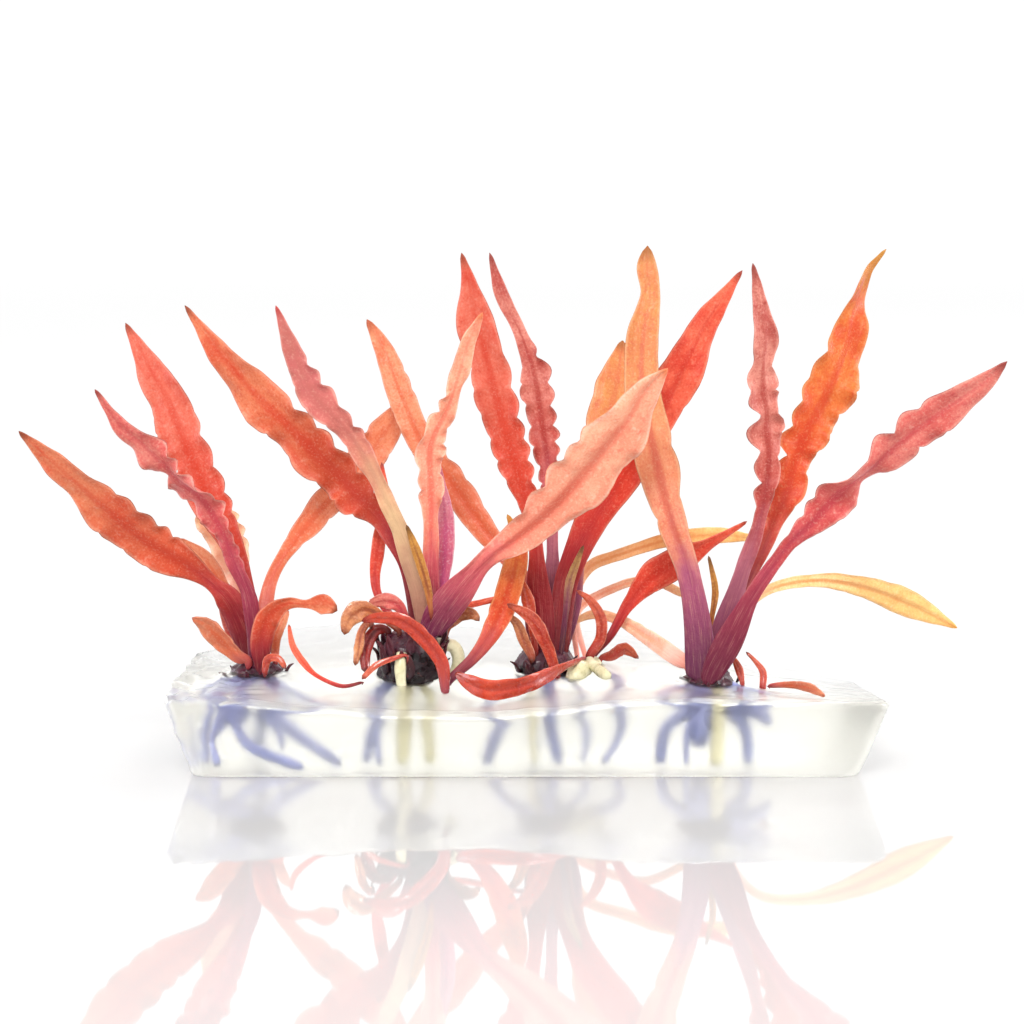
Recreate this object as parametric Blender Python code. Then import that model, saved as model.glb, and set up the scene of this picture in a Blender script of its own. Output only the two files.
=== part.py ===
"""Four rosettes of red cryptocoryne and a small offset, standing in a slab of clear culture gel.

The origin is the middle of the slab's foot, +Z is up, +X runs along the slab and -Y is its front.
Sizes below are in millimetres, and MM turns them into Blender's metres.
"""

import math
from collections import namedtuple

import bpy
from mathutils import Vector

MM = 0.001
GAP = 0.3  # clearance between pieces that touch

# The slab flares from its foot to its rim, as the tray did that it was poured in.
SLAB_LENGTH = 100.0
SLAB_DEPTH = 52.0
FOOT_INSET = 3.5
FRONT_CORNER = 3.0
BACK_CORNER = 7.0

# The height of the rim along the slab, at its front and at its back: (across, height)
RIM_FRONT = (
    (-50, 11.2), (-45, 11.2), (-27, 9.9), (-17, 9.3), (-6, 9.0), (3.5, 9.8), (15.5, 11.1), (50, 11.1),
)
RIM_BACK = (
    (-50, 10.6), (-46, 11.0), (-37, 13.5), (-27, 14.3), (10, 13.3), (19, 12.0), (28, 9.6), (36, 7.6),
    (50, 5.6),
)

# The top of the slab is made of rings of the rim's outline, shrunk by these shares.
TOP_RINGS = (0.9, 0.72, 0.5, 0.25)
TOP_MIDDLE = (3.2, -0.2)  # where the innermost ring is closed, under a rhizome's pocket
LONG_SIDE_STEPS = 14
SHORT_SIDE_STEPS = 5
CORNER_STEPS = 3

# Leaf guide points are read in the upright plane through the middle of the slab, as seen from here,
# and are then carried along the line of sight to their own depth.
EYE = Vector((-1.8, -440.0, 84.0))

PETIOLE_THICKNESS = 1.1
BLADE_THICKNESS = 0.5
THICKNESS_OF_WIDTH = 0.8  # a narrow stalk is nearly round
BLADE_STARTS = 0.42  # share of the leaf's length where the stalk has become a blade
RIDGE_OF_STALK = 0.26
RIDGE_OF_BLADE = 0.14  # half-width of the thick middle, as a share of the leaf's width
CUP = 0.07  # how far the margins rise towards the upper face, as a share of the width
RING_SPACING = 3.0
FEWEST_RINGS = 5
MOST_RINGS = 22
RINGS_PER_WAVE = 3
WAVE_OFFSET = 2.2  # the waves of a leaf's two margins are out of step by this angle, in radians
WAVE_FADE = 0.25  # share of the leaf's length, at its tip, over which the waves die out
FULL_WAVE_WIDTH = 4.0  # the waves of narrower leaves are lower
BROAD_LEAF = 2.45  # narrower leaves have a plain four-sided section

CURVE_STEPS = 12  # steps from one guide point to the next when a curve's length is measured

ROOT_SIDES = 6
ROOT_RING_SPACING = 2.6
RHIZOME_SIDES = 10
POCKET_RISE = 6.0  # how far a rhizome's pocket reaches above its foot, well out of the gel

Leaf = namedtuple("Leaf", "name finish turn waves points")
Rhizome = namedtuple("Rhizome", "name rings roots")

# Each leaf has its name, its finish, how far its face turns up towards the sky at base and tip (degrees),
# the number and height of the waves along its margin, and its guide points from base to tip:
# (across, up, back, width). Back is the true depth behind the middle of the slab.
LEAVES = (
    Leaf("plant_1_leaf_outer_left", "orange_leaf", (20, 30), (5, 0.5), (
        (-39.6, 13, -3.5, 2), (-40.5, 17, -4, 4), (-42.5, 21.5, -5, 3.7), (-45, 24, -5.5, 2.2),
        (-49, 27, -6.5, 4.6), (-54, 30, -8, 5.9), (-58.5, 33.5, -10, 6.3), (-63, 37.5, -12, 4.4),
        (-68, 42, -14, 2.9), (-72.5, 46, -16, 0.4),
    )),
    Leaf("plant_1_leaf_crinkled", "rose_leaf", (15, 35), (7, 0.8), (
        (-39, 12.6, -5.4, 1.2), (-39.5, 21, -6.5, 2), (-41.5, 26.5, -7.5, 2), (-43.5, 31.5, -8.5, 2.6),
        (-46, 36, -9.5, 3.5), (-49.5, 39, -10.5, 1.5), (-52, 41.5, -11.5, 3.6), (-54.5, 44, -12.5, 3.7),
        (-58, 47, -13.5, 2), (-61.5, 52, -15, 0.4),
    )),
    Leaf("plant_1_leaf_broad", "coral_leaf", (10, 25), (5, 0.6), (
        (-38.5, 12.8, -2, 1.2), (-39, 18.5, -2, 1.6), (-40, 23.5, -1.5, 1.9), (-42.5, 30.5, -0.5, 3.9),
        (-45.5, 37, 1, 5.4), (-48.5, 44, 3, 5.9), (-51, 50.5, 5, 5.7), (-53.5, 55, 6.5, 3.9),
        (-57, 61.5, 8.5, 0.4),
    )),
    Leaf("plant_1_leaf_behind", "pale_leaf", (0, 20), (4, 0.6), (
        (-39, 13.2, 0.6, 0.9), (-39.5, 18, 1.5, 1.2), (-41, 23.5, 3.5, 2.9), (-42.5, 29.5, 6, 5.5),
        (-45, 35, 8.5, 5), (-46.5, 39, 10, 0.4),
    )),
    Leaf("plant_1_leaf_short", "pale_leaf", (10, 20), (2, 0.2), (
        (-40.4, 13.2, -0.5, 0.9), (-41, 18.5, 0, 1.3), (-43.5, 23.5, 0, 2), (-46, 27.5, 0.5, 2.4),
        (-49.5, 30.5, 1, 0.4),
    )),
    Leaf("plant_1_leaf_leaning_right", "orange_leaf", (0, 20), (4, 0.4), (
        (-38, 13.2, 0.3, 1.3), (-37.5, 19.5, 1.5, 2), (-36.5, 24.5, 3.5, 1.8), (-34, 29, 6, 2.2),
        (-30, 34, 9.5, 4), (-25, 39.5, 12.5, 4.8), (-20, 46, 15, 4.7), (-16.5, 51, 16.5, 0.6),
    )),
    Leaf("plant_1_low_leaf_wet", "wet_leaf", (30, 40), (2, 0.2), (
        (-40, 12.7, -6.2, 1.2), (-41.5, 13.4, -6.9, 1.9), (-43.5, 15.5, -7.5, 2.7), (-46, 18, -8.5, 2.3),
        (-48, 19, -9, 0.4),
    )),
    Leaf("plant_1_low_leaf_spoon", "pale_leaf", (20, 10), (2, 0.3), (
        (-38, 12, -6.8, 2), (-38, 15.5, -7.5, 3.3), (-37, 19, -8, 3.2), (-34.5, 21, -8.8, 2),
        (-31.5, 21, -9.5, 1.2), (-29, 21, -10, 2.9), (-27, 20, -10.5, 0.9),
    )),
    Leaf("plant_1_low_leaf_curl", "wet_leaf", (0, 0), (1, 0), (
        (-37.5, 11.5, -7.5, 1), (-37, 13, -8, 1.2), (-35.5, 13, -8.5, 1), (-34.5, 11.5, -9, 0.6),
    )),
    Leaf("plant_1_leaf_sheath", "rose_leaf", (0, 10), (2, 0.2), (
        (-40, 13.1, -1.2, 1), (-41.5, 15.5, -1.2, 1.9), (-43, 19, -1.4, 1.7), (-44, 22, -1.5, 0.4),
    )),
    Leaf("plant_1_low_leaf_small", "wet_leaf", (0, 0), (1, 0.1), (
        (-36, 13, -3, 1), (-36, 16, -2.5, 1.7), (-35, 18.5, -2, 1.6), (-34, 20, -1.5, 0.4),
    )),
    Leaf("plant_2_leaf_broad_left", "orange_leaf", (15, 30), (6, 0.9), (
        (-15.5, 17.5, -3.5, 1.3), (-16, 23, -3, 1.9), (-17.5, 28.5, -2.2, 2.4), (-20.5, 33.5, -1, 3.9),
        (-25, 38, 0.5, 6), (-30, 43, 2, 6.3), (-35, 48, 3, 6.2), (-40, 53, 4, 5.6),
        (-44.5, 58.5, 5, 2.7), (-48.5, 64, 6, 0.4),
    )),
    Leaf("plant_2_leaf_crinkled", "rose_leaf", (10, 30), (6, 0.6), (
        (-14.5, 17.3, -6, 1.4), (-15, 23, -6.5, 2.6), (-17, 29.5, -7.3, 2.8), (-20, 36.5, -8.3, 2.2),
        (-23.5, 43.5, -9.5, 3), (-27, 48, -10.5, 3.4), (-30.5, 52, -11.5, 4.2), (-33, 57.5, -13, 2.6),
        (-35.5, 64, -15, 0.4),
    )),
    Leaf("plant_2_leaf_upright", "rose_leaf", (10, 30), (7, 0.7), (
        (-13.5, 17.3, -4.8, 1.2), (-13.5, 24.5, -5.5, 1.9), (-13.5, 32.5, -6.5, 2.2), (-13.5, 38, -7.5, 3.3),
        (-13.5, 44, -8.5, 3.6), (-11, 49.5, -10, 2.3), (-9.5, 54, -11.5, 2.4), (-8, 59, -13, 2.2),
        (-6, 63, -14.5, 0.4),
    )),
    Leaf("plant_2_leaf_violet", "violet_leaf", (10, 10), (2, 0.3), (
        (-13, 17.5, -2.5, 0.9), (-12, 23, -2.5, 1.2), (-11.5, 29, -2.5, 2.4), (-11.5, 34, -2.5, 2.6),
        (-12, 38.5, -2.2, 1.2), (-12.5, 42.5, -2, 0.4),
    )),
    Leaf("plant_2_leaf_salmon", "salmon_leaf", (20, 35), (5, 0.7), (
        (-13.5, 17, -7.8, 2.3), (-11, 21, -8.5, 3.6), (-6, 27, -9.5, 2.8), (-1.5, 30.5, -10.5, 4),
        (3.5, 34.5, -12, 6.4), (9, 40.5, -14, 8), (14, 46.5, -16, 7), (17.5, 52, -17.5, 3.7),
        (20.5, 55, -18.5, 0.4),
    )),
    Leaf("plant_2_leaf_dark_tip", "orange_leaf", (10, 20), (2, 0.3), (
        (-10.8, 9.9, -9.3, 1.2), (-7.5, 13, -8.5, 1.7), (-5, 16.5, -7, 2.6), (-3, 21, -5.5, 3.6),
        (-1.5, 26, -5, 3.6), (-1, 30, -4.5, 2.2), (-2.5, 34, -4, 0.4),
    )),
    Leaf("plant_2_leaf_narrow_back", "red_leaf", (10, 15), (3, 0.2), (
        (-17.2, 16.6, -0.8, 0.9), (-20.5, 21, 1, 1.2), (-21.5, 24.5, 2, 1.4), (-21, 29.5, 3, 2),
        (-20, 36, 4, 1.4), (-20.5, 41.5, 5, 0.4),
    )),
    Leaf("plant_2_leaf_bud", "olive_leaf", (0, 10), (1, 0.1), (
        (-13.5, 20, -9, 0.7), (-14, 23.5, -9.3, 1.2), (-15.5, 28.5, -9.5, 1.4), (-17, 32.5, -9.5, 0.4),
    )),
    Leaf("plant_2_low_leaf_brown_curl", "withered_leaf", (10, 20), (2, 0.4), (
        (-18.3, 17.3, -6.7, 0.9), (-22, 20, -8, 1.7), (-24, 20, -8.5, 2.9), (-25.5, 18.5, -9, 2.3),
        (-26, 16.5, -9.5, 0.7),
    )),
    Leaf("plant_2_low_leaf_brown_hanging", "withered_leaf", (10, 20), (2, 0.3), (
        (-22.2, 18.6, -7.6, 0.9), (-23.5, 17, -7.8, 1.2), (-24, 14.5, -8.6, 1.3), (-24.5, 12, -9.3, 0.6),
    )),
    Leaf("plant_2_low_leaf_pink", "wet_leaf", (10, 20), (2, 0.3), (
        (-17, 17.6, -6.4, 1), (-18, 20.5, -6.8, 1.7), (-20, 21.5, -6.5, 2.2), (-22.5, 21, -6.2, 1),
    )),
    Leaf("plant_2_low_leaf_red_arch", "wet_leaf", (20, 20), (2, 0.3), (
        (-11.5, 8.7, -13, 1.3), (-12, 12.5, -12.5, 2), (-14.5, 16, -11.5, 2.3), (-17.5, 18.5, -11, 2),
        (-21, 19, -10.5, 1.6), (-23.5, 18.5, -10, 0.6),
    )),
    Leaf("plant_2_low_leaf_dark_strap", "wet_leaf", (10, 10), (1, 0.2), (
        (-19.8, 17.1, -5, 1.2), (-21.5, 17.1, -5.5, 1.6), (-23, 14.5, -6.5, 1.9), (-23, 11, -8, 1),
    )),
    Leaf("plant_2_low_leaf_small_arch", "wet_leaf", (0, 0), (1, 0), (
        (-17, 13.5, -10, 0.4), (-19, 13, -10.5, 0.7), (-21.5, 12, -11, 0.9), (-23.5, 10, -11.5, 0.7),
    )),
    Leaf("plant_2_low_leaf_brown_right", "withered_leaf", (10, 10), (2, 0.3), (
        (-11.5, 16.3, -4.5, 1), (-11.2, 18, -4.5, 1.9), (-9.5, 19.5, -4.5, 2.3), (-7.5, 19.5, -5, 1.6),
        (-6.5, 18.5, -5.5, 0.6),
    )),
    Leaf("plant_2_low_leaf_thin_red", "red_leaf", (0, 0), (2, 0.1), (
        (-23.5, 9.5, -13.5, 0.4), (-26.5, 9, -15, 0.6), (-30, 10.5, -14, 0.6), (-32, 12.5, -12, 1),
        (-33.5, 15, -10, 0.9), (-34, 18, -8, 0.4),
    )),
    Leaf("plant_3_leaf_left", "orange_leaf", (10, 25), (3, 0.4), (
        (1, 15, 1, 0.7), (1, 21.5, 2, 1.2), (-1.5, 26.5, 3.5, 2.3), (-5.5, 31.5, 5.5, 3.4),
        (-10, 38, 7.5, 4.4), (-14.5, 44, 9, 4), (-17.5, 51, 10.5, 3.7), (-20, 57.5, 12, 2.9),
        (-22.5, 62, 13, 0.6),
    )),
    Leaf("plant_3_leaf_broad", "coral_leaf", (10, 20), (5, 0.6), (
        (2.5, 14.4, -1, 1.3), (2, 22.5, -1, 2.2), (1.5, 31, -0.5, 2), (-0.5, 39, 0.3, 3.8),
        (-3, 47, 1, 5.4), (-5, 55, 1.5, 5.4), (-7, 62, 1.5, 5.2), (-8, 67.5, 1.5, 2.2),
        (-9, 71.5, 1.5, 0.4),
    )),
    Leaf("plant_3_leaf_scalloped", "mauve_leaf", (5, 20), (8, 0.8), (
        (4, 15, 1.5, 1.2), (4, 23, 2.2, 1.7), (4, 33, 4, 1.7), (3.5, 40.5, 6, 3),
        (2.5, 47.5, 8, 4), (1.5, 54, 9.5, 4), (-0.5, 60, 11, 1.8), (-3, 65, 12, 2.2),
        (-5, 71.5, 13, 0.4),
    )),
    Leaf("plant_3_leaf_tan", "tan_leaf", (5, 20), (3, 0.4), (
        (5.4, 14.9, 3.5, 1), (7, 21.5, 5.2, 1.6), (8, 29, 7.5, 2), (9.5, 37.5, 10, 5.5),
        (11.5, 45.5, 12.5, 6.5), (13, 52.5, 14.5, 6.1), (14, 59, 16, 0.8),
    )),
    Leaf("plant_3_leaf_red_right", "red_leaf", (10, 30), (4, 0.5), (
        (5, 14.4, -0.8, 1.2), (5.5, 21, 0, 1.9), (6.5, 26, 1, 2.9), (9.5, 33, 2, 4.9),
        (13.5, 39, 3, 5.2), (18, 46, 4, 5.2), (22, 54, 5, 5.8), (25.5, 61, 6, 4.2),
        (28.5, 65.5, 7, 2), (31, 69, 8, 0.4),
    )),
    Leaf("plant_3_low_leaf_hook", "wet_leaf", (10, 10), (2, 0.2), (
        (9.5, 13.5, -0.5, 1.3), (11, 16, -1, 1.6), (11, 19, -1.5, 1.6), (9.5, 21.5, -2, 1.2),
        (7.5, 23, -2.5, 0.4),
    )),
    Leaf("plant_3_low_leaf_front_arch", "wet_leaf", (10, 20), (2, 0.3), (
        (4.6, 10.5, -6.3, 1.3), (4, 12.8, -6.8, 1.6), (3, 15.5, -7, 1.9), (1, 19, -7.2, 1.9),
        (-2.5, 21, -7.2, 0.6),
    )),
    Leaf("plant_3_low_leaf_brown_curl", "withered_leaf", (10, 10), (2, 0.2), (
        (1, 13.5, -3.8, 1.2), (0, 15.5, -4, 1.6), (-1, 18, -4, 1.4), (-2.5, 19.5, -4, 0.6),
    )),
    Leaf("plant_3_low_leaf_small_red", "wet_leaf", (10, 10), (1, 0.2), (
        (1.6, 14, -2.6, 0.9), (1, 19, -2.5, 1.4), (0.5, 21.5, -2.2, 1.9), (-0.5, 25, -2, 0.4),
    )),
    Leaf("plant_3_low_leaf_thin_left", "red_leaf", (0, 10), (2, 0.1), (
        (2.5, 14.8, 3.2, 0.4), (2.5, 21.5, 3.5, 0.4), (-0.5, 22.5, 3.5, 0.7), (-5, 21.5, 3, 0.9),
        (-9.5, 20.5, 2.5, 0.9), (-12, 20, 2, 0.4),
    )),
    Leaf("plant_3_leaf_sheath", "olive_leaf", (0, 0), (1, 0), (
        (5.3, 14, -2.5, 0.7), (6, 20, -2.5, 0.9), (6.5, 24, -2, 1.3), (7.5, 27, -1.5, 1), (8.5, 29.5, -1, 0.4),
    )),
    Leaf("offset_leaf_red", "red_leaf", (15, 25), (3, 0.4), (
        (10, 13.5, 3, 0.9), (12.5, 16.5, 3.5, 1.2), (15, 21, 4, 1.9), (18.5, 25, 5, 4.5),
        (22.5, 27.5, 6, 4), (27, 30, 7, 1.7), (32, 33, 8, 0.4),
    )),
    Leaf("offset_leaf_yellow_arch", "pale_leaf", (10, 20), (2, 0.3), (
        (7.6, 13.4, 5.3, 0.7), (7, 20, 6.8, 1), (9, 26, 9.5, 1.6), (14.5, 28.5, 10.5, 1.7),
        (21.5, 30.5, 10.5, 2.2), (28, 31, 11, 2.3), (33.5, 30.5, 11.5, 0.6),
    )),
    Leaf("offset_leaf_thin_pale", "pale_leaf", (10, 20), (2, 0.3), (
        (8.7, 13.6, 6.2, 0.7), (7.5, 19.5, 10, 1.2), (11, 22.5, 12, 1.3), (17.5, 24.5, 13, 1.3),
        (23, 22.5, 13.5, 1.2), (26, 21.5, 13.5, 0.4),
    )),
    Leaf("offset_low_leaf_small", "wet_leaf", (30, 40), (1, 0.2), (
        (11, 13, 1.5, 0.7), (12.5, 13.5, 1.8, 1.6), (14.5, 14.5, 2.2, 1.7), (16.5, 13, 3, 0.4),
    )),
    Leaf("offset_low_leaf_strap", "wet_leaf", (25, 25), (3, 0.3), (
        (8.5, 13, -3, 0.6), (5, 11.5, -10.5, 1.3), (1, 9.5, -16, 2.4), (-4.5, 8.5, -18, 2.7),
        (-8, 9.5, -16, 2.2), (-10, 11, -14, 0.4),
    )),
    Leaf("plant_4_leaf_tallest", "tan_leaf", (10, 20), (4, 0.4), (
        (25.5, 11, -8.3, 2.9), (25, 18, -8, 3.1), (23.5, 26, -7.2, 3.3), (21, 33.5, -6, 4.1),
        (19, 41.5, -4.5, 5.9), (17, 51, -3, 5.3), (17, 59, -1.5, 4.5), (18, 65.5, -0.5, 2.9),
        (17.5, 69.5, 0, 2.9), (17.5, 72.5, 0.5, 0.6),
    )),
    Leaf("plant_4_leaf_scalloped", "mauve_leaf", (10, 25), (6, 0.8), (
        (27, 11.5, -6, 1.4), (29, 18, -6.7, 2.4), (31.5, 26, -7.7, 2.3), (34, 34, -8.7, 2),
        (35, 42, -9.7, 3.4), (34.5, 46, -10.3, 4), (34.5, 49, -10.8, 2.6), (34, 52, -11.4, 4.9),
        (34, 56, -12.1, 2.3), (34, 61, -13, 3), (32.5, 70, -14.8, 0.4),
    )),
    Leaf("plant_4_leaf_twisted_tip", "orange_leaf", (10, 30), (7, 0.9), (
        (27.5, 11.7, -3.5, 1.2), (30.5, 20, -3.3, 1.5), (34, 28.5, -2.8, 2), (37.5, 37, -1.8, 4),
        (39.5, 44, -0.5, 5), (43, 51, 1, 6.8), (46, 58.5, 2.5, 5.3), (47, 64, 3.5, 2.5),
        (49, 69, 4.3, 1.1), (51.5, 72, 5, 0.4),
    )),
    Leaf("plant_4_leaf_twisted_waist", "rose_leaf", (10, 25), (6, 0.6), (
        (27, 10.5, -10.2, 2), (29.5, 15.5, -10.8, 3), (33, 22.5, -12, 2.2), (37.5, 29, -13, 2),
        (41.5, 33, -14, 3.6), (45, 37, -15, 5.2), (47.5, 39, -15.7, 2.1), (50, 41, -16.5, 2.4),
        (54, 44.5, -17.5, 5), (60, 49, -19, 4.8), (65, 52.5, -20.5, 3.1), (69, 56, -22, 0.4),
    )),
    Leaf("plant_4_low_leaf_pale_arch", "pale_leaf", (10, 20), (2, 0.2), (
        (23.7, 12, -5.4, 1.6), (22, 13.2, -4, 2.4), (18, 16, 1, 2.3), (14, 18.5, 6.5, 1.6),
        (10, 19.5, 8, 1.4), (6.5, 18, 7.5, 0.6),
    )),
    Leaf("plant_4_leaf_yellow", "pale_leaf", (10, 30), (2, 0.3), (
        (28.3, 10.9, -2, 0.7), (31, 18.5, 0, 1), (35, 23, 2.5, 1.4), (42, 24.5, 6, 1.9),
        (49, 23.5, 9, 3.3), (55.5, 21, 11, 4), (62.5, 17.5, 12, 0.4),
    )),
    Leaf("plant_4_leaf_bud", "olive_leaf", (0, 0), (1, 0), (
        (26.5, 11.6, -4.5, 0.7), (27, 18.5, -4.5, 0.7), (27.5, 23, -4, 1), (26.5, 28, -3.5, 0.4),
    )),
    Leaf("plant_4_low_leaf_short", "wet_leaf", (0, 0), (1, 0.1), (
        (31.5, 9.5, -7, 0.7), (31, 11.5, -6.5, 1.2), (30, 13.5, -6, 0.4),
    )),
    Leaf("plant_4_low_leaf_hook", "wet_leaf", (0, 0), (1, 0), (
        (34.5, 9, -7.5, 1), (34.5, 11, -7, 1), (33.5, 12.5, -6.5, 0.7), (32, 14, -6, 0.4),
    )),
    Leaf("plant_4_low_leaf_lying", "wet_leaf", (20, 30), (1, 0.1), (
        (35.5, 9, -9, 0.6), (38.5, 9.2, -12.5, 1), (41.5, 8.7, -17, 1.3), (43.5, 7.5, -21, 0.4),
    )),
)

# Each rhizome has the rings of its stump as (x, y, z, radius), from its lower end to its top, and its
# roots, each a radius at the stump, a radius at the tip and guide points (x, y, z). All are real places.
RHIZOMES = (
    Rhizome("plant_1_rhizome", (
        (-38.6, -2.8, 8.5, 1.6), (-38.6, -2.8, 10.3, 3.9), (-38.5, -2.9, 11.8, 4.4), (-38.4, -2.8, 12.7, 3.6),
    ), (
        (0.9, 0.5, ((-39.8, -2.8, 10.3), (-42, -6, 7.5), (-43.5, -11, 5), (-43, -15, 2.2))),
        (1.0, 0.5, ((-38.4, -3.6, 9.9), (-40.5, -8, 6.5), (-38, -13, 3.5), (-31, -16, 2))),
        (0.9, 0.5, ((-37.3, -2.9, 10.1), (-34.5, -6, 7), (-30.5, -9, 4), (-26, -11, 2))),
        (0.8, 0.5, ((-38.5, -1.4, 9.8), (-37.5, 2, 6), (-38.5, 4, 2.2))),
    )),
    Rhizome("plant_2_rhizome", (
        (-16.6, -4.4, 8.3, 1.8), (-16.6, -4.8, 10.5, 4.5), (-16.4, -5.0, 13, 4.9), (-16.2, -5.0, 15.7, 4.6),
        (-15.8, -5.0, 17.4, 3.5),
    ), (
        (1.1, 0.8, ((-17, -4.5, 10), (-17, -8, 7), (-17.2, -10, 2))),
        (0.8, 0.6, ((-15.5, -4.5, 10), (-13.8, -7, 6.5), (-13.3, -8.5, 2))),
        (0.8, 0.5, ((-17.8, -3.5, 10), (-21, -5.5, 6.5), (-22.5, -7, 2))),
    )),
    Rhizome("plant_3_rhizome", (
        (3.2, -0.2, 8.3, 1.8), (3.1, -0.2, 10.3, 3.7), (3.1, -0.1, 12.3, 4.3), (3.2, 0.2, 14.1, 3.6),
    ), (
        (0.9, 0.6, ((2, -1.5, 10), (-3, -5, 7), (-5.5, -8, 2))),
        (0.9, 0.6, ((3.5, -1.5, 10), (3.6, -6, 6.5), (4.8, -8.5, 2))),
        (0.7, 0.4, ((3, 1, 10), (1, 4, 6), (1.5, 5, 2.2))),
    )),
    Rhizome("offset_rhizome", ((9.7, 1.4, 9.2, 1.0), (9.7, 1.4, 11, 1.7), (9.7, 1.4, 12.5, 1.4)), (
        (0.8, 0.4, ((10, 0.5, 10.5), (13.5, -3, 7.5), (13, -7.5, 4), (11, -10, 2))),
        (0.75, 0.6, ((9.7, 1, 11.9), (9.4, -2.5, 12.9), (10.5, -6, 12.4), (11.8, -9.5, 11.9))),
    )),
    Rhizome("plant_4_rhizome", (
        (26.2, -6.2, 7.6, 2.0), (26.2, -6.1, 9.4, 4.0), (26.2, -6.0, 10.8, 4.5), (26.2, -6.0, 11.8, 3.5),
    ), (
        (0.9, 0.6, ((24.5, -7, 9), (20, -9, 6), (19, -11, 2))),
        (1.4, 0.9, ((26, -7.5, 9), (25, -9, 6.5), (24.5, -10.5, 3.5))),
        (0.9, 0.7, ((27, -8, 9), (27.2, -10.5, 6), (26.8, -12.5, 2))),
        (0.9, 0.6, ((28, -6.5, 9), (31, -8, 6), (31.5, -10, 2))),
    )),
)

# The finishes: base colour, roughness and how much light passes through
FINISHES = {
    "gel": ((0.95, 0.96, 0.94), 0.05, 0.9),
    "rhizome": ((0.14, 0.05, 0.06), 0.45, 0.0),
    "orange_leaf": ((0.86, 0.25, 0.09), 0.4, 0.0),
    "coral_leaf": ((0.85, 0.20, 0.12), 0.4, 0.0),
    "rose_leaf": ((0.72, 0.19, 0.19), 0.4, 0.0),
    "mauve_leaf": ((0.62, 0.20, 0.16), 0.4, 0.0),
    "red_leaf": ((0.80, 0.12, 0.07), 0.4, 0.0),
    "salmon_leaf": ((0.88, 0.35, 0.23), 0.4, 0.0),
    "tan_leaf": ((0.83, 0.42, 0.18), 0.4, 0.0),
    "pale_leaf": ((0.92, 0.48, 0.22), 0.4, 0.0),
    "violet_leaf": ((0.55, 0.20, 0.30), 0.4, 0.0),
    "olive_leaf": ((0.45, 0.26, 0.08), 0.45, 0.0),
    "wet_leaf": ((0.66, 0.10, 0.04), 0.2, 0.0),
    "withered_leaf": ((0.60, 0.24, 0.10), 0.3, 0.0),
}


def clear_scene():
    for item in list(bpy.data.objects):
        bpy.data.objects.remove(item, do_unlink=True)


def make_material(name):
    colour, roughness, transmission = FINISHES[name]
    material = bpy.data.materials.new(name)
    material.use_nodes = True
    shader = material.node_tree.nodes["Principled BSDF"]
    shader.inputs["Base Color"].default_value = (*colour, 1.0)
    shader.inputs["Roughness"].default_value = roughness
    shader.inputs["Metallic"].default_value = 0.0
    shader.inputs["Transmission Weight"].default_value = transmission
    return material


def make_object(name, points, faces, material):
    """A closed mesh object from points in millimetres."""
    mesh = bpy.data.meshes.new(name)
    mesh.from_pydata([Vector(point) * MM for point in points], [], faces)
    mesh.materials.append(material)
    mesh.validate()
    item = bpy.data.objects.new(name, mesh)
    bpy.context.scene.collection.objects.link(item)
    return item


def make_guide(item):
    """Marks an object as one that only joins or cuts another."""
    item.hide_render = True
    item.display_type = "WIRE"
    return item


def add_boolean(item, other, operation):
    modifier = item.modifiers.new(operation.lower(), "BOOLEAN")
    modifier.operation = operation
    modifier.solver = "EXACT"
    modifier.object = other


def eased(share):
    share = min(max(share, 0.0), 1.0)
    return share * share * (3 - 2 * share)


def between(first, last, share):
    return first + (last - first) * share


def along_table(table, across):
    """A height read from a table of (across, height), eased between its entries."""
    if across <= table[0][0]:
        return table[0][1]
    for (left, low), (right, high) in zip(table, table[1:]):
        if across <= right:
            return between(low, high, eased((across - left) / (right - left)))
    return table[-1][1]


def gel_height(x, y):
    """The height of the top of the slab."""
    back_share = y / SLAB_DEPTH + 0.5
    return between(along_table(RIM_FRONT, x), along_table(RIM_BACK, x), back_share)


def smooth_point(points, position):
    """A point on a smooth curve through the guide points; position 0 is the first and 1 is the second."""
    last = len(points) - 1
    index = min(int(position), last - 1)
    share = position - index
    before = points[max(index - 1, 0)]
    start = points[index]
    end = points[index + 1]
    after = points[min(index + 2, last)]
    result = []
    for a, b, c, d in zip(before, start, end, after):
        slope_in = (c - a) / 2
        slope_out = (d - b) / 2
        cubic = 2 * b - 2 * c + slope_in + slope_out
        square = -3 * b + 3 * c - 2 * slope_in - slope_out
        result.append(((cubic * share + square) * share + slope_in) * share + b)
    return result


def even_positions(points, count):
    """Positions along a smooth curve that are evenly spaced in length."""
    fine = CURVE_STEPS * (len(points) - 1)
    places = [Vector(smooth_point(points, k * (len(points) - 1) / fine)[:3]) for k in range(fine + 1)]
    lengths = [0.0]
    for first, second in zip(places, places[1:]):
        lengths.append(lengths[-1] + (second - first).length)
    positions = []
    k = 0
    for step in range(count):
        wanted = lengths[-1] * step / (count - 1)
        while k < fine - 1 and lengths[k + 1] < wanted:
            k += 1
        share = (wanted - lengths[k]) / (lengths[k + 1] - lengths[k])
        positions.append((k + share) * (len(points) - 1) / fine)
    return positions, lengths[-1]


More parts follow.
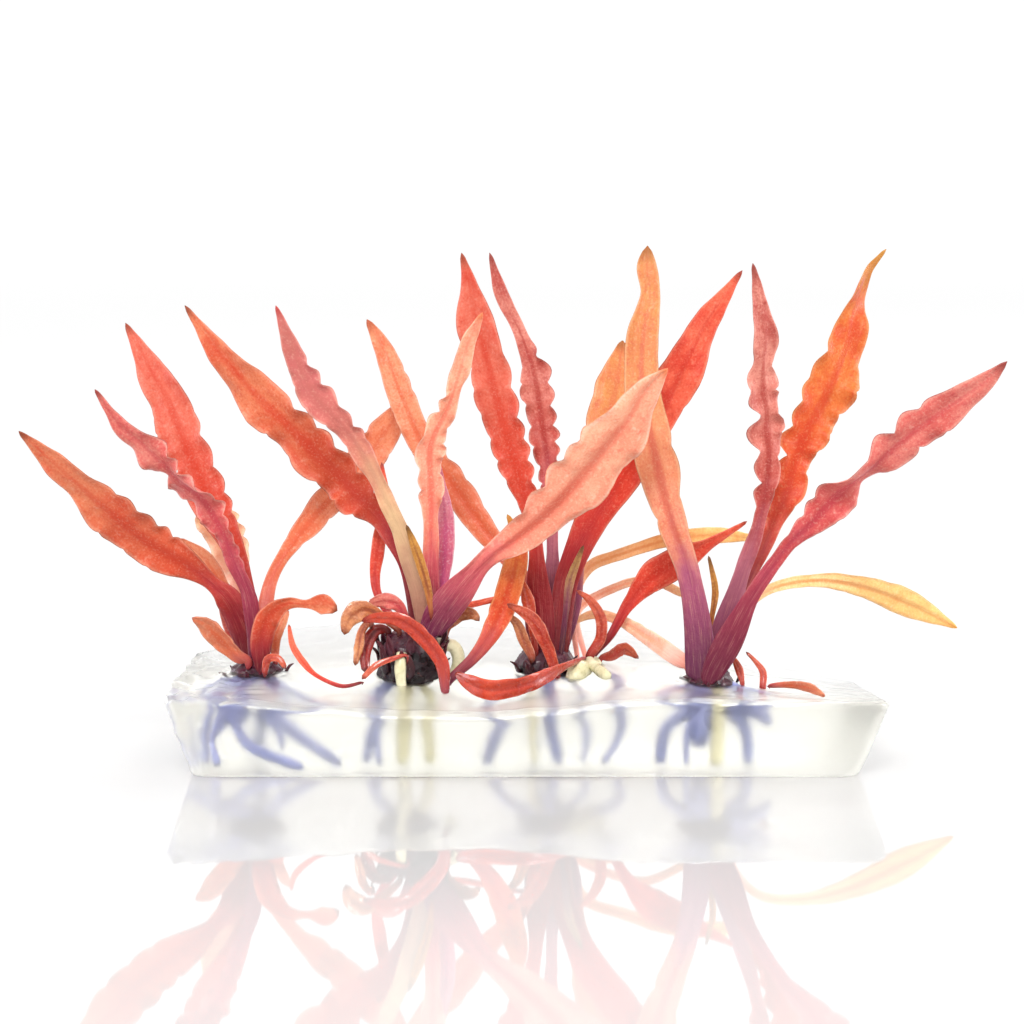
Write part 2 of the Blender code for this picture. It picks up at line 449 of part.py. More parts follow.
def loft(rings, thin=False):
    """Points and faces of a closed body from rings that all have the same number of points.

    The faces of a thin body are split into triangles, the lower ones along the same diagonals as the
    upper ones, so that the two never cross where the body is twisted.
    """
    sides = len(rings[0])
    points = [point for ring in rings for point in ring]
    faces = [tuple(reversed(range(sides)))]
    for ring in range(len(rings) - 1):
        for side in range(sides):
            low, low_after = ring * sides + side, ring * sides + (side + 1) % sides
            high, high_after = low + sides, low_after + sides
            if not thin:
                faces.append((low, low_after, high_after, high))
            elif side < sides // 2:
                faces += [(low, low_after, high_after), (low, high_after, high)]
            else:
                faces += [(low, low_after, high), (low_after, high_after, high)]
    start = (len(rings) - 1) * sides
    faces.append(tuple(range(start, start + sides)))
    return points, faces


def seen(across, up, back):
    """The real place, at a given depth, of what is seen at this place in the middle plane."""
    middle = Vector((across, 0.0, up))
    return EYE + (middle - EYE) * ((back - EYE.y) / (0.0 - EYE.y))


def leaf_guide(leaf):
    """The leaf's guide points as real places, each with its width."""
    return [(*seen(across, up, back), width) for across, up, back, width in leaf.points]


def leaf_frame(place, direction, turn, lean):
    """Unit vectors across the leaf and out of its upper face, which is turned from the eye to the sky."""
    towards_eye = EYE - place
    facing = (towards_eye - direction * towards_eye.dot(direction)).normalized()
    side = direction.cross(facing) * lean
    normal = facing * math.cos(turn) + side * math.sin(turn)
    return direction.cross(normal), normal


def leaf_section(place, across, normal, width, thickness, share, lifts):
    """The points of one cross-section: thick along the middle, thin and lifted at the margins."""
    left, right = lifts
    if share is None:
        outline = ((-0.5 * width, left), (0, thickness / 2), (0.5 * width, right), (0, -thickness / 2))
    else:
        ridge = between(RIDGE_OF_STALK, RIDGE_OF_BLADE, share) * width
        outline = (
            (-0.5 * width, left), (-ridge, thickness / 2), (ridge, thickness / 2),
            (0.5 * width, right), (ridge, -thickness / 2), (-ridge, -thickness / 2),
        )
    return [place + across * x + normal * z for x, z in outline]


def make_leaf(leaf, materials):
    guide = leaf_guide(leaf)
    broad = max(point[3] for point in guide) > BROAD_LEAF
    wave_count, wave_height = leaf.waves
    _, length = even_positions(guide, 2)
    count = round(length / RING_SPACING)
    if broad:
        count = max(count, RINGS_PER_WAVE * wave_count)
    count = min(max(count, FEWEST_RINGS), MOST_RINGS)
    positions, _ = even_positions(guide, count)
    stations = [smooth_point(guide, position) for position in positions]
    places = [Vector(station[:3]) for station in stations]
    lean = 1 if places[-1].x > places[0].x else -1
    rings = []
    for k, place in enumerate(places):
        share = k / (count - 1)
        direction = (places[min(k + 1, count - 1)] - places[max(k - 1, 0)]).normalized()
        turn = math.radians(between(*leaf.turn, share))
        across, normal = leaf_frame(place, direction, turn, lean)
        width = stations[k][3] / math.cos(turn)
        blade = eased(share / BLADE_STARTS)
        thickness = min(THICKNESS_OF_WIDTH * width, between(PETIOLE_THICKNESS, BLADE_THICKNESS, blade))
        swell = wave_height * blade * eased((1 - share) / WAVE_FADE) * min(width / FULL_WAVE_WIDTH, 1)
        phase = 2 * math.pi * wave_count * share
        lift = CUP * width * blade
        lifts = (lift + swell * math.sin(phase), lift + swell * math.sin(phase + WAVE_OFFSET))
        rings.append(leaf_section(place, across, normal, width, thickness, blade if broad else None, lifts))
    return make_object(leaf.name, *loft(rings, thin=True), materials[leaf.finish])


def make_tube(name, start_radius, end_radius, points, extra, material):
    """A tapered round root; extra widens and lengthens it, for the pocket that it lies in."""
    _, length = even_positions(points, 2)
    count = max(round(length / ROOT_RING_SPACING), 3) + 1
    positions, _ = even_positions(points, count)
    places = [Vector(smooth_point(points, position)) for position in positions]
    ends = (places[1] - places[0]).normalized(), (places[-1] - places[-2]).normalized()
    places[0] -= ends[0] * extra
    places[-1] += ends[1] * extra
    rings = []
    for k, place in enumerate(places):
        direction = (places[min(k + 1, count - 1)] - places[max(k - 1, 0)]).normalized()
        side = direction.cross(Vector((0, 1, 0))).normalized()
        other = direction.cross(side)
        radius = between(start_radius, end_radius, k / (count - 1)) + extra
        angles = [2 * math.pi * step / ROOT_SIDES for step in range(ROOT_SIDES)]
        rings.append([place + (side * math.cos(a) + other * math.sin(a)) * radius for a in angles])
    return make_object(name, *loft(rings), material)


def make_stump(name, rings, extra, rise, material):
    """The rhizome's stump; extra widens and deepens it and rise heightens it, for its pocket."""
    circles = []
    for k, (x, y, z, radius) in enumerate(rings):
        if k == 0:
            z -= extra
        if k == len(rings) - 1:
            z += rise
        angles = [2 * math.pi * step / RHIZOME_SIDES for step in range(RHIZOME_SIDES)]
        reach = radius + extra
        circles.append([Vector((x + reach * math.cos(a), y + reach * math.sin(a), z)) for a in angles])
    return make_object(name, *loft(circles), material)


def make_rhizome(rhizome, materials):
    """One body: the stump with its roots joined on."""
    material = materials["rhizome"]
    body = make_stump(rhizome.name, rhizome.rings, 0.0, 0.0, material)
    for number, (start_radius, end_radius, points) in enumerate(rhizome.roots, 1):
        name = f"{rhizome.name}_root_{number}"
        root = make_tube(name, start_radius, end_radius, points, 0.0, material)
        add_boolean(body, make_guide(root), "UNION")
    return body


def cut_pocket(slab, rhizome, material):
    """Cuts the room that a rhizome and its roots take up in the gel, open at the top."""
    name = f"{rhizome.name}_pocket"
    stump = make_stump(f"{name}_stump", rhizome.rings, GAP, POCKET_RISE, material)
    add_boolean(slab, make_guide(stump), "DIFFERENCE")
    for number, (start_radius, end_radius, points) in enumerate(rhizome.roots, 1):
        tube = make_tube(f"{name}_{number}", start_radius, end_radius, points, GAP, material)
        add_boolean(slab, make_guide(tube), "DIFFERENCE")


def corner_points(x, y, radius, first_angle):
    """A quarter round about (x, y)."""
    angles = [math.radians(first_angle + 90 * step / CORNER_STEPS) for step in range(CORNER_STEPS + 1)]
    return [(x + radius * math.cos(a), y + radius * math.sin(a)) for a in angles]


def slab_outline(half_length, half_depth):
    """The slab's outline from above, counter-clockwise, with its long sides divided evenly."""
    front_x, front_y = half_length - FRONT_CORNER, half_depth - FRONT_CORNER
    back_x, back_y = half_length - BACK_CORNER, half_depth - BACK_CORNER
    corners = (
        corner_points(front_x, -front_y, FRONT_CORNER, -90),
        corner_points(back_x, back_y, BACK_CORNER, 0),
        corner_points(-back_x, back_y, BACK_CORNER, 90),
        corner_points(-front_x, -front_y, FRONT_CORNER, 180),
    )
    steps = (SHORT_SIDE_STEPS, LONG_SIDE_STEPS, SHORT_SIDE_STEPS, LONG_SIDE_STEPS)
    outline = []
    for corner, following, count in zip(corners, corners[1:] + corners[:1], steps):
        outline += corner
        start, end = corner[-1], following[0]
        for step in range(1, count):
            share = step / count
            outline.append((between(start[0], end[0], share), between(start[1], end[1], share)))
    return outline


def make_slab(materials):
    half_length, half_depth = SLAB_LENGTH / 2, SLAB_DEPTH / 2
    foot = slab_outline(half_length - FOOT_INSET, half_depth - FOOT_INSET)
    rim = slab_outline(half_length, half_depth)
    rings = [[(x, y, 0.0) for x, y in foot]]
    for share in (1.0, *TOP_RINGS):
        rings.append([(x * share, y * share, gel_height(x * share, y * share)) for x, y in rim])
    points, faces = loft(rings)
    top = faces.pop()
    points.append((*TOP_MIDDLE, gel_height(*TOP_MIDDLE)))
    middle = len(points) - 1
    for here, after in zip(top, top[1:] + top[:1]):
        faces.append((here, after, middle))
    return make_object("gel_slab", points, faces, materials["gel"])


def main():
    clear_scene()
    materials = {name: make_material(name) for name in FINISHES}
    slab = make_slab(materials)
    for rhizome in RHIZOMES:
        make_rhizome(rhizome, materials)
        cut_pocket(slab, rhizome, materials["gel"])
    for leaf in LEAVES:
        make_leaf(leaf, materials)


main()
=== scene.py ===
"""Four rosettes of red cryptocoryne and a small offset, standing in a slab of clear culture gel.

Lengths in the tables and functions are in millimetres, and MM turns them into Blender's metres.
"""

import math
import random
from collections import namedtuple
from functools import partialmethod

import bpy
import numpy as np
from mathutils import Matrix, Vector, noise


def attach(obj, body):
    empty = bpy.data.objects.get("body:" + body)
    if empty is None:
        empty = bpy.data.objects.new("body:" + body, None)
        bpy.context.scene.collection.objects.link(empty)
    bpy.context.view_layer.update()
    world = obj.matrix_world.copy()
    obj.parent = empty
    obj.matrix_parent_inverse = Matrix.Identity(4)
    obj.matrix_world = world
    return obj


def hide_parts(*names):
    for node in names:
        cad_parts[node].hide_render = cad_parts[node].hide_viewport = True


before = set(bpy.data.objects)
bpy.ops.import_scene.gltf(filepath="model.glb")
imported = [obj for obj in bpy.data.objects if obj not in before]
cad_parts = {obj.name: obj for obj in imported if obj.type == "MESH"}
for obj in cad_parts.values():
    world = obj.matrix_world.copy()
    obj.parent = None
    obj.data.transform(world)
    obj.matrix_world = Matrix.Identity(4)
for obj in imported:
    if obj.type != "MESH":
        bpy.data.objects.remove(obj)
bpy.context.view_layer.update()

MM = 0.001

# The viewpoint of the photograph. Leaf guide points are read in the upright plane through the middle of
# the slab, as seen from here, and are then carried along the line of sight to their own depth.
EYE = np.array((-1.8, -440.0, 84.0))
TILT_DOWN = 6.44
LENS = 108.28
SENSOR = 36.0

# The slab, as the solids have it, with its rim's heights as (across, height)
SLAB_LENGTH = 100.0
SLAB_DEPTH = 52.0
FOOT_INSET = 3.5
FRONT_CORNER = 3.0
BACK_CORNER = 7.0
RIM_FRONT = (
    (-50, 11.2), (-45, 11.2), (-27, 9.9), (-17, 9.3), (-6, 9.0), (3.5, 9.8), (15.5, 11.1), (50, 11.1),
)
RIM_BACK = (
    (-50, 10.6), (-46, 11.0), (-37, 13.5), (-27, 14.3), (10, 13.3), (19, 12.0), (28, 9.6), (36, 7.6),
    (50, 5.6),
)

# The slab's rings of points, from its foot up its wall, round its rim and over its top
CORNER_POINTS = 9
SHORT_SIDE_STEPS = 56
LONG_SIDE_STEPS = 130
WALL_RINGS = 14
FOOT_RINGS = ((2.5, 0.0), (0.7, 0.0), (0.2, 0.15), (0.0, 0.6))  # how far in, and how high
RIM_ROUND = 0.5
RIM_INSETS = (0.7, 0.9, 1.1, 1.3, 1.5, 1.7, 1.9, 2.1, 2.3, 2.5, 2.8, 3.2, 3.8)
TOP_RING_COUNT = 26

# The fine ridges along the front rim: how far each lies from it, its width and its height
RIM_RIDGES = ((0.95, 0.16, 0.26), (1.7, 0.18, 0.2), (2.6, 0.25, 0.16))

# Leaves
RING_SPACING = 0.4
COLUMNS = 18
CURVE_STEPS = 24
LEAST_WIDTH = 0.2
FOOT_DEPTH = 1.3  # how far a leaf's foot reaches down into what carries it
LYING_FOOT_DEPTH = 0.3  # the same for leaves that lie on the gel
FOOT_TAPER = 0.15  # the share of its width by which a stalk narrows to its foot's end
FOOT_ROUND = 1.0  # over this length the foot rounds off
TIP_ROUND = 0.012  # share of the length over which the tip rounds off
SHEATH_LENGTH = 17.0  # over this length a stalk widens towards its foot
BLADE_STARTS = 0.42  # share of the leaf's length where the stalk has become a blade
PETIOLE_THICKNESS = 1.1
BLADE_THICKNESS = 0.42
EDGE_THICKNESS = 0.12
THICKNESS_OF_WIDTH = 0.8
CUP = 0.07
WAVE_OFFSET = 2.2  # how far the waves of the two margins are out of step
WAVE_FADE = 0.25
WAVE_DRIFT = 0.35
FULL_WAVE_WIDTH = 4.0
SWAY = 0.05  # how far the waves also push the margin in and out, as a share of the width
SCALLOP_FADE = 0.08
FULL_SCALLOP_WIDTH = 3.5
WRINKLE_HEIGHT = 0.05
KEEL_HEIGHT = 0.16  # the midrib stands out this far below
KEEL_SPREAD = 0.18
GROOVE = 0.2  # the midrib's groove above, as a share of its height below

# Crowns and roots
CROWN_SIDES = 56
CROWN_RING_SPACING = 0.25
DOME_HEIGHT = 0.5
DOME_ANGLES = (30, 55, 75, 88)
ROOT_SIDES = 14
ROOT_SPACING = 0.5
LOW_ROOT_TIP = 3.0  # the roots whose tips are below this reach down to the slab's foot
ROOT_TIP_HEIGHT = 1.0
ROOT_SWELL = 1.2  # the roots are drawn this much thicker, so that their painted shade in the gel reads broader
TURN_BETWEEN_FLAPS = 2.4  # radians, as leaves follow one another round a stem

# What the first number of a rhizome's form map says: crown, tip of an old leaf base, root or cream root
CROWN_KIND, FLAP_KIND, ROOT_KIND, CREAM_KIND = 0.1, 0.25, 0.5, 0.9

# Each leaf has its name, its finish, how far its face turns up towards the sky at base and tip (degrees),
# the number and height of the waves along its margin, and its guide points from base to tip, as across,
# up, back and width. Back is the true depth behind the middle of the slab. Some leaves have more: a look
# that isn't their finish's; the scallops of each margin, as their number, reach and height and the shares
# of the leaf's length between which they lie; how much wider the stalk is at its sheathing foot; how deep
# the long folds are, as a share of the width; and twists, as a share of the length, degrees and spread.
Leaf = namedtuple(
    "Leaf", "name finish turn waves points look scallops sheath fold twists foot_depth",
    defaults=(None, (4, 0.07, 0.1, 0.3, 0.92), 1.0, 0.02, (), FOOT_DEPTH),
)
LEAVES = (
    Leaf("plant_1_leaf_outer_left", "orange_leaf", (20, 30), (5, 0.5), """
    -39.6 13 -3.5 2, -40.5 17 -4 4, -42.5 21.5 -5 3.7, -45 24 -5.5 2.2, -49 27 -6.5 4.6, -54 30 -8 5.9,
    -58.5 33.5 -10 6.3, -63 37.5 -12 4.4, -68 42 -14 2.9, -72.5 46 -16 0.4""",
        scallops=(6, 0.3, 0.3, 0.4, 0.84)),
    Leaf("plant_1_leaf_crinkled", "rose_leaf", (15, 35), (7, 0.8), """
    -39 12.6 -5.4 1.2, -39.5 21 -6.5 2, -41.5 26.5 -7.5 2, -43.5 31.5 -8.5 2.6, -46 36 -9.5 3.5,
    -49.5 39 -10.5 1.5, -52 41.5 -11.5 3.6, -54.5 44 -12.5 3.7, -58 47 -13.5 2, -61.5 52 -15 0.4""",
        scallops=(9, 0.42, 0.6, 0.28, 0.78), sheath=1.3, twists=((0.62, 50, 0.08),)),
    Leaf("plant_1_leaf_broad", "coral_leaf", (10, 25), (5, 0.6), """
    -38.5 12.8 -2 1.2, -39 18.5 -2 1.6, -40 23.5 -1.5 1.9, -42.5 30.5 -0.5 3.9, -45.5 37 1 5.4,
    -48.5 44 3 5.9, -51 50.5 5 5.7, -53.5 55 6.5 3.9, -57 61.5 8.5 0.4""",
        scallops=(7, 0.28, 0.35, 0.36, 0.8), sheath=1.3),
    Leaf("plant_1_leaf_behind", "pale_leaf", (0, 20), (4, 0.6), """
    -39 13.2 0.6 0.9, -39.5 18 1.5 1.2, -41 23.5 3.5 2.9, -42.5 29.5 6 5.5, -45 35 8.5 5,
    -46.5 39 10 0.4""", scallops=(6, 0.3, 0.4, 0.35, 0.9)),
    Leaf("plant_1_leaf_short", "pale_leaf", (10, 20), (2, 0.2), """
    -40.4 13.2 -0.5 0.9, -41 18.5 0 1.3, -43.5 23.5 0 2, -46 27.5 0.5 2.4, -49.5 30.5 1 0.4""",
        look="amber_leaf"),
    # Its amber look is lighter than its orange finish: partly its own colour, partly painted light for a
    # leaf that stands in shade behind others.
    Leaf("plant_1_leaf_leaning_right", "orange_leaf", (0, 20), (4, 0.4), """
    -38 13.2 0.3 1.3, -37.5 19.5 1.5 2, -36.5 24.5 3.5 1.8, -34 29 6 2.2, -30 34 9.5 4,
    -25 39.5 12.5 4.8, -20 46 15 4.7, -16.5 51 16.5 0.6""",
        look="amber_leaf", scallops=(7, 0.22, 0.3, 0.35, 0.9), sheath=1.3),
    Leaf("plant_1_low_leaf_wet", "wet_leaf", (30, 40), (2, 0.2), """
    -40 12.7 -6.2 1.2, -41.5 13.4 -6.9 1.9, -43.5 15.5 -7.5 2.7, -46 18 -8.5 2.3, -48 19 -9 0.4""",
        look="amber_leaf"),
    Leaf("plant_1_low_leaf_spoon", "pale_leaf", (20, 10), (2, 0.3), """
    -38 12 -6.8 2, -38 15.5 -7.5 3.3, -37 19 -8 3.2, -34.5 21 -8.8 2, -31.5 21 -9.5 1.2, -29 21 -10 2.9,
    -27 20 -10.5 0.9""", look="orange_leaf"),
    Leaf("plant_1_low_leaf_curl", "wet_leaf", (0, 0), (1, 0), """
    -37.5 11.5 -7.5 1, -37 13 -8 1.2, -35.5 13 -8.5 1, -34.5 11.5 -9 0.6"""),
    Leaf("plant_1_leaf_sheath", "rose_leaf", (0, 10), (2, 0.2), """
    -40 13.1 -1.2 1, -41.5 15.5 -1.2 1.9, -43 19 -1.4 1.7, -44 22 -1.5 0.4"""),
    Leaf("plant_1_low_leaf_small", "wet_leaf", (0, 0), (1, 0.1), """
    -36 13 -3 1, -36 16 -2.5 1.7, -35 18.5 -2 1.6, -34 20 -1.5 0.4""", look="amber_leaf"),
    Leaf("plant_2_leaf_broad_left", "orange_leaf", (15, 30), (6, 0.9), """
    -15.5 17.5 -3.5 1.3, -16 23 -3 1.9, -17.5 28.5 -2.2 2.4, -20.5 33.5 -1 3.9, -25 38 0.5 6,
    -30 43 2 6.3, -35 48 3 6.2, -40 53 4 5.6, -44.5 58.5 5 2.7, -48.5 64 6 0.4""",
        scallops=(7, 0.5, 0.6, 0.3, 0.78), sheath=1.5),
    Leaf("plant_2_leaf_crinkled", "rose_leaf", (10, 30), (6, 0.6), """
    -14.5 17.3 -6 1.4, -15 23 -6.5 2.6, -17 29.5 -7.3 2.8, -20 36.5 -8.3 2.2, -23.5 43.5 -9.5 3,
    -27 48 -10.5 3.4, -30.5 52 -11.5 4.2, -33 57.5 -13 2.6, -35.5 64 -15 0.4""",
        look="blush_leaf", scallops=(6, 0.32, 0.4, 0.52, 0.88), sheath=1.4),
    Leaf("plant_2_leaf_upright", "rose_leaf", (10, 30), (7, 0.7), """
    -13.5 17.3 -4.8 1.2, -13.5 24.5 -5.5 1.9, -13.5 32.5 -6.5 2.2, -13.5 38 -7.5 3.3, -13.5 44 -8.5 3.6,
    -11 49.5 -10 2.3, -9.5 54 -11.5 2.4, -8 59 -13 2.2, -6 63 -14.5 0.4""",
        look="salmon_leaf", scallops=(7, 0.38, 0.5, 0.34, 0.78), sheath=1.6),
    Leaf("plant_2_leaf_violet", "violet_leaf", (10, 10), (2, 0.3), """
    -13 17.5 -2.5 0.9, -12 23 -2.5 1.2, -11.5 29 -2.5 2.4, -11.5 34 -2.5 2.6, -12 38.5 -2.2 1.2,
    -12.5 42.5 -2 0.4""", sheath=1.5),
    Leaf("plant_2_leaf_salmon", "salmon_leaf", (20, 35), (5, 0.7), """
    -13.5 17 -7.8 2.3, -11 21 -8.5 3.6, -6 27 -9.5 2.8, -1.5 30.5 -10.5 4, 3.5 34.5 -12 6.4,
    9 40.5 -14 8, 14 46.5 -16 7, 17.5 52 -17.5 3.7, 20.5 55 -18.5 0.4""",
        scallops=(5, 0.4, 0.4, 0.34, 0.8), sheath=1.5, fold=0.045),
    Leaf("plant_2_leaf_dark_tip", "orange_leaf", (10, 20), (2, 0.3), """
    -10.8 9.9 -9.3 1.2, -7.5 13 -8.5 1.7, -5 16.5 -7 2.6, -3 21 -5.5 3.6, -1.5 26 -5 3.6,
    -1 30 -4.5 2.2, -2.5 34 -4 0.4""", look="flame_leaf"),
    Leaf("plant_2_leaf_narrow_back", "red_leaf", (10, 15), (3, 0.2), """
    -17.2 16.6 -0.8 0.9, -20.5 21 1 1.2, -21.5 24.5 2 1.4, -21 29.5 3 2, -20 36 4 1.4, -20.5 41.5 5 0.4"""),
    Leaf("plant_2_leaf_bud", "olive_leaf", (0, 10), (1, 0.1), """
    -13.5 20 -9 0.7, -14 23.5 -9.3 1.2, -15.5 28.5 -9.5 1.4, -17 32.5 -9.5 0.4"""),
    Leaf("plant_2_low_leaf_brown_curl", "withered_leaf", (10, 20), (2, 0.4), """
    -18.3 17.3 -6.7 0.9, -22 20 -8 1.7, -24 20 -8.5 2.9, -25.5 18.5 -9 2.3, -26 16.5 -9.5 0.7"""),
    Leaf("plant_2_low_leaf_brown_hanging", "withered_leaf", (10, 20), (2, 0.3), """
    -22.2 18.6 -7.6 0.9, -23.5 17 -7.8 1.2, -24 14.5 -8.6 1.3, -24.5 12 -9.3 0.6"""),
    Leaf("plant_2_low_leaf_pink", "wet_leaf", (10, 20), (2, 0.3), """
    -17 17.6 -6.4 1, -18 20.5 -6.8 1.7, -20 21.5 -6.5 2.2, -22.5 21 -6.2 1""", look="rose_leaf"),
    Leaf("plant_2_low_leaf_red_arch", "wet_leaf", (20, 20), (2, 0.3), """
    -11.5 8.7 -13 1.3, -12 12.5 -12.5 2, -14.5 16 -11.5 2.3, -17.5 18.5 -11 2, -21 19 -10.5 1.6,
    -23.5 18.5 -10 0.6""", look="strap_leaf"),
    Leaf("plant_2_low_leaf_dark_strap", "wet_leaf", (10, 10), (1, 0.2), """
    -19.8 17.1 -5 1.2, -21.5 17.1 -5.5 1.6, -23 14.5 -6.5 1.9, -23 11 -8 1""", look="dark_leaf"),
    Leaf("plant_2_low_leaf_small_arch", "wet_leaf", (0, 0), (1, 0), """
    -17 13.5 -10 0.4, -19 13 -10.5 0.7, -21.5 12 -11 0.9, -23.5 10 -11.5 0.7"""),
    Leaf("plant_2_low_leaf_brown_right", "withered_leaf", (10, 10), (2, 0.3), """
    -11.5 16.3 -4.5 1, -11.2 18 -4.5 1.9, -9.5 19.5 -4.5 2.3, -7.5 19.5 -5 1.6, -6.5 18.5 -5.5 0.6"""),
    Leaf("plant_2_low_leaf_thin_red", "red_leaf", (0, 0), (2, 0.1), """
    -23.5 9.5 -13.5 0.4, -26.5 9 -15 0.6, -30 10.5 -14 0.6, -32 12.5 -12 1, -33.5 15 -10 0.9,
    -34 18 -8 0.4""", foot_depth=LYING_FOOT_DEPTH),
    Leaf("plant_3_leaf_left", "orange_leaf", (10, 25), (3, 0.4), """
    1 15 1 0.7, 1 21.5 2 1.2, -1.5 26.5 3.5 2.3, -5.5 31.5 5.5 3.4, -10 38 7.5 4.4, -14.5 44 9 4,
    -17.5 51 10.5 3.7, -20 57.5 12 2.9, -22.5 62 13 0.6""",
        look="amber_leaf", scallops=(8, 0.14, 0.2, 0.35, 0.9), sheath=2.2),
    Leaf("plant_3_leaf_broad", "coral_leaf", (10, 20), (5, 0.6), """
    2.5 14.4 -1 1.3, 2 22.5 -1 2.2, 1.5 31 -0.5 2, -0.5 39 0.3 3.8, -3 47 1 5.4, -5 55 1.5 5.4,
    -7 62 1.5 5.2, -8 67.5 1.5 2.2, -9 71.5 1.5 0.4""", scallops=(8, 0.32, 0.3, 0.3, 0.8), sheath=2.8),
    Leaf("plant_3_leaf_scalloped", "mauve_leaf", (5, 20), (8, 0.8), """
    4 15 1.5 1.2, 4 23 2.2 1.7, 4 33 4 1.7, 3.5 40.5 6 3, 2.5 47.5 8 4, 1.5 54 9.5 4, -0.5 60 11 1.8,
    -3 65 12 2.2, -5 71.5 13 0.4""", scallops=(9, 0.46, 0.55, 0.3, 0.78), sheath=2.8),
    Leaf("plant_3_leaf_tan", "tan_leaf", (5, 20), (3, 0.4), """
    5.4 14.9 3.5 1, 7 21.5 5.2 1.6, 8 29 7.5 2, 9.5 37.5 10 5.5, 11.5 45.5 12.5 6.5, 13 52.5 14.5 6.1,
    14 59 16 0.8""", scallops=(6, 0.14, 0.2, 0.4, 0.9), sheath=2.2),
    Leaf("plant_3_leaf_red_right", "red_leaf", (10, 30), (4, 0.5), """
    5 14.4 -0.8 1.2, 5.5 21 0 1.9, 6.5 26 1 2.9, 9.5 33 2 4.9, 13.5 39 3 5.2, 18 46 4 5.2, 22 54 5 5.8,
    25.5 61 6 4.2, 28.5 65.5 7 2, 31 69 8 0.4""", scallops=(5, 0.24, 0.3, 0.35, 0.75), sheath=2.4),
    Leaf("plant_3_low_leaf_hook", "wet_leaf", (10, 10), (2, 0.2), """
    9.5 13.5 -0.5 1.3, 11 16 -1 1.6, 11 19 -1.5 1.6, 9.5 21.5 -2 1.2, 7.5 23 -2.5 0.4"""),
    Leaf("plant_3_low_leaf_front_arch", "wet_leaf", (10, 20), (2, 0.3), """
    4.6 10.5 -6.3 1.3, 4 12.8 -6.8 1.6, 3 15.5 -7 1.9, 1 19 -7.2 1.9, -2.5 21 -7.2 0.6"""),
    Leaf("plant_3_low_leaf_brown_curl", "withered_leaf", (10, 10), (2, 0.2), """
    1 13.5 -3.8 1.2, 0 15.5 -4 1.6, -1 18 -4 1.4, -2.5 19.5 -4 0.6"""),
    Leaf("plant_3_low_leaf_small_red", "wet_leaf", (10, 10), (1, 0.2), """
    1.6 14 -2.6 0.9, 1 19 -2.5 1.4, 0.5 21.5 -2.2 1.9, -0.5 25 -2 0.4"""),
    Leaf("plant_3_low_leaf_thin_left", "red_leaf", (0, 10), (2, 0.1), """
    2.5 14.8 3.2 0.4, 2.5 21.5 3.5 0.4, -0.5 22.5 3.5 0.7, -5 21.5 3 0.9, -9.5 20.5 2.5 0.9,
    -12 20 2 0.4"""),
    Leaf("plant_3_leaf_sheath", "olive_leaf", (0, 0), (1, 0), """
    5.3 14 -2.5 0.7, 6 20 -2.5 0.9, 6.5 24 -2 1.3, 7.5 27 -1.5 1, 8.5 29.5 -1 0.4""", look="sheath_leaf"),
    Leaf("offset_leaf_red", "red_leaf", (15, 25), (3, 0.4), """
    10 13.5 3 0.9, 12.5 16.5 3.5 1.2, 15 21 4 1.9, 18.5 25 5 4.5, 22.5 27.5 6 4, 27 30 7 1.7,
    32 33 8 0.4"""),
    Leaf("offset_leaf_yellow_arch", "pale_leaf", (10, 20), (2, 0.3), """
    7.6 13.4 5.3 0.7, 7 20 6.8 1, 9 26 9.5 1.6, 14.5 28.5 10.5 1.7, 21.5 30.5 10.5 2.2, 28 31 11 2.3,
    33.5 30.5 11.5 0.6""", look="gold_leaf"),
    Leaf("offset_leaf_thin_pale", "pale_leaf", (10, 20), (2, 0.3), """
    8.7 13.6 6.2 0.7, 7.5 19.5 10 1.2, 11 22.5 12 1.3, 17.5 24.5 13 1.3, 23 22.5 13.5 1.2,
    26 21.5 13.5 0.4"""),
    Leaf("offset_low_leaf_small", "wet_leaf", (30, 40), (1, 0.2), """
    11 13 1.5 0.7, 12.5 13.5 1.8 1.6, 14.5 14.5 2.2 1.7, 16.5 13 3 0.4"""),
    Leaf("offset_low_leaf_strap", "wet_leaf", (25, 25), (3, 0.3), """
    8.5 13 -3 0.6, 5 11.5 -10.5 1.3, 1 9.5 -16 2.4, -4.5 8.5 -18 2.7, -8 9.5 -16 2.2, -10 11 -14 0.4""",
        look="strap_leaf", foot_depth=LYING_FOOT_DEPTH),
    Leaf("plant_4_leaf_tallest", "tan_leaf", (10, 20), (4, 0.4), """
    25.5 11 -8.3 2.9, 25 18 -8 3.1, 23.5 26 -7.2 3.3, 21 33.5 -6 4.1, 19 41.5 -4.5 5.9, 17 51 -3 5.3,
    17 59 -1.5 4.5, 18 65.5 -0.5 2.9, 17.5 69.5 0 2.9, 17.5 72.5 0.5 0.6""",
        scallops=(4, 0.26, 0.22, 0.32, 0.75), sheath=1.5, fold=0.045),
    Leaf("plant_4_leaf_scalloped", "mauve_leaf", (10, 25), (6, 0.8), """
    27 11.5 -6 1.4, 29 18 -6.7 2.4, 31.5 26 -7.7 2.3, 34 34 -8.7 2, 35 42 -9.7 3.4, 34.5 46 -10.3 4,
    34.5 49 -10.8 2.6, 34 52 -11.4 4.9, 34 56 -12.1 2.3, 34 61 -13 3, 32.5 70 -14.8 0.4""",
        scallops=(7, 0.52, 0.5, 0.38, 0.84), sheath=1.8, twists=((0.62, 25, 0.05), (0.8, 25, 0.05))),
    Leaf("plant_4_leaf_twisted_tip", "orange_leaf", (10, 30), (7, 0.9), """
    27.5 11.7 -3.5 1.2, 30.5 20 -3.3 1.5, 34 28.5 -2.8 2, 37.5 37 -1.8 4, 39.5 44 -0.5 5, 43 51 1 6.8,
    46 58.5 2.5 5.3, 47 64 3.5 2.5, 49 69 4.3 1.1, 51.5 72 5 0.4""",
        look="flame_leaf", scallops=(9, 0.46, 0.55, 0.28, 0.8), sheath=1.7, twists=((0.9, 50, 0.06),)),
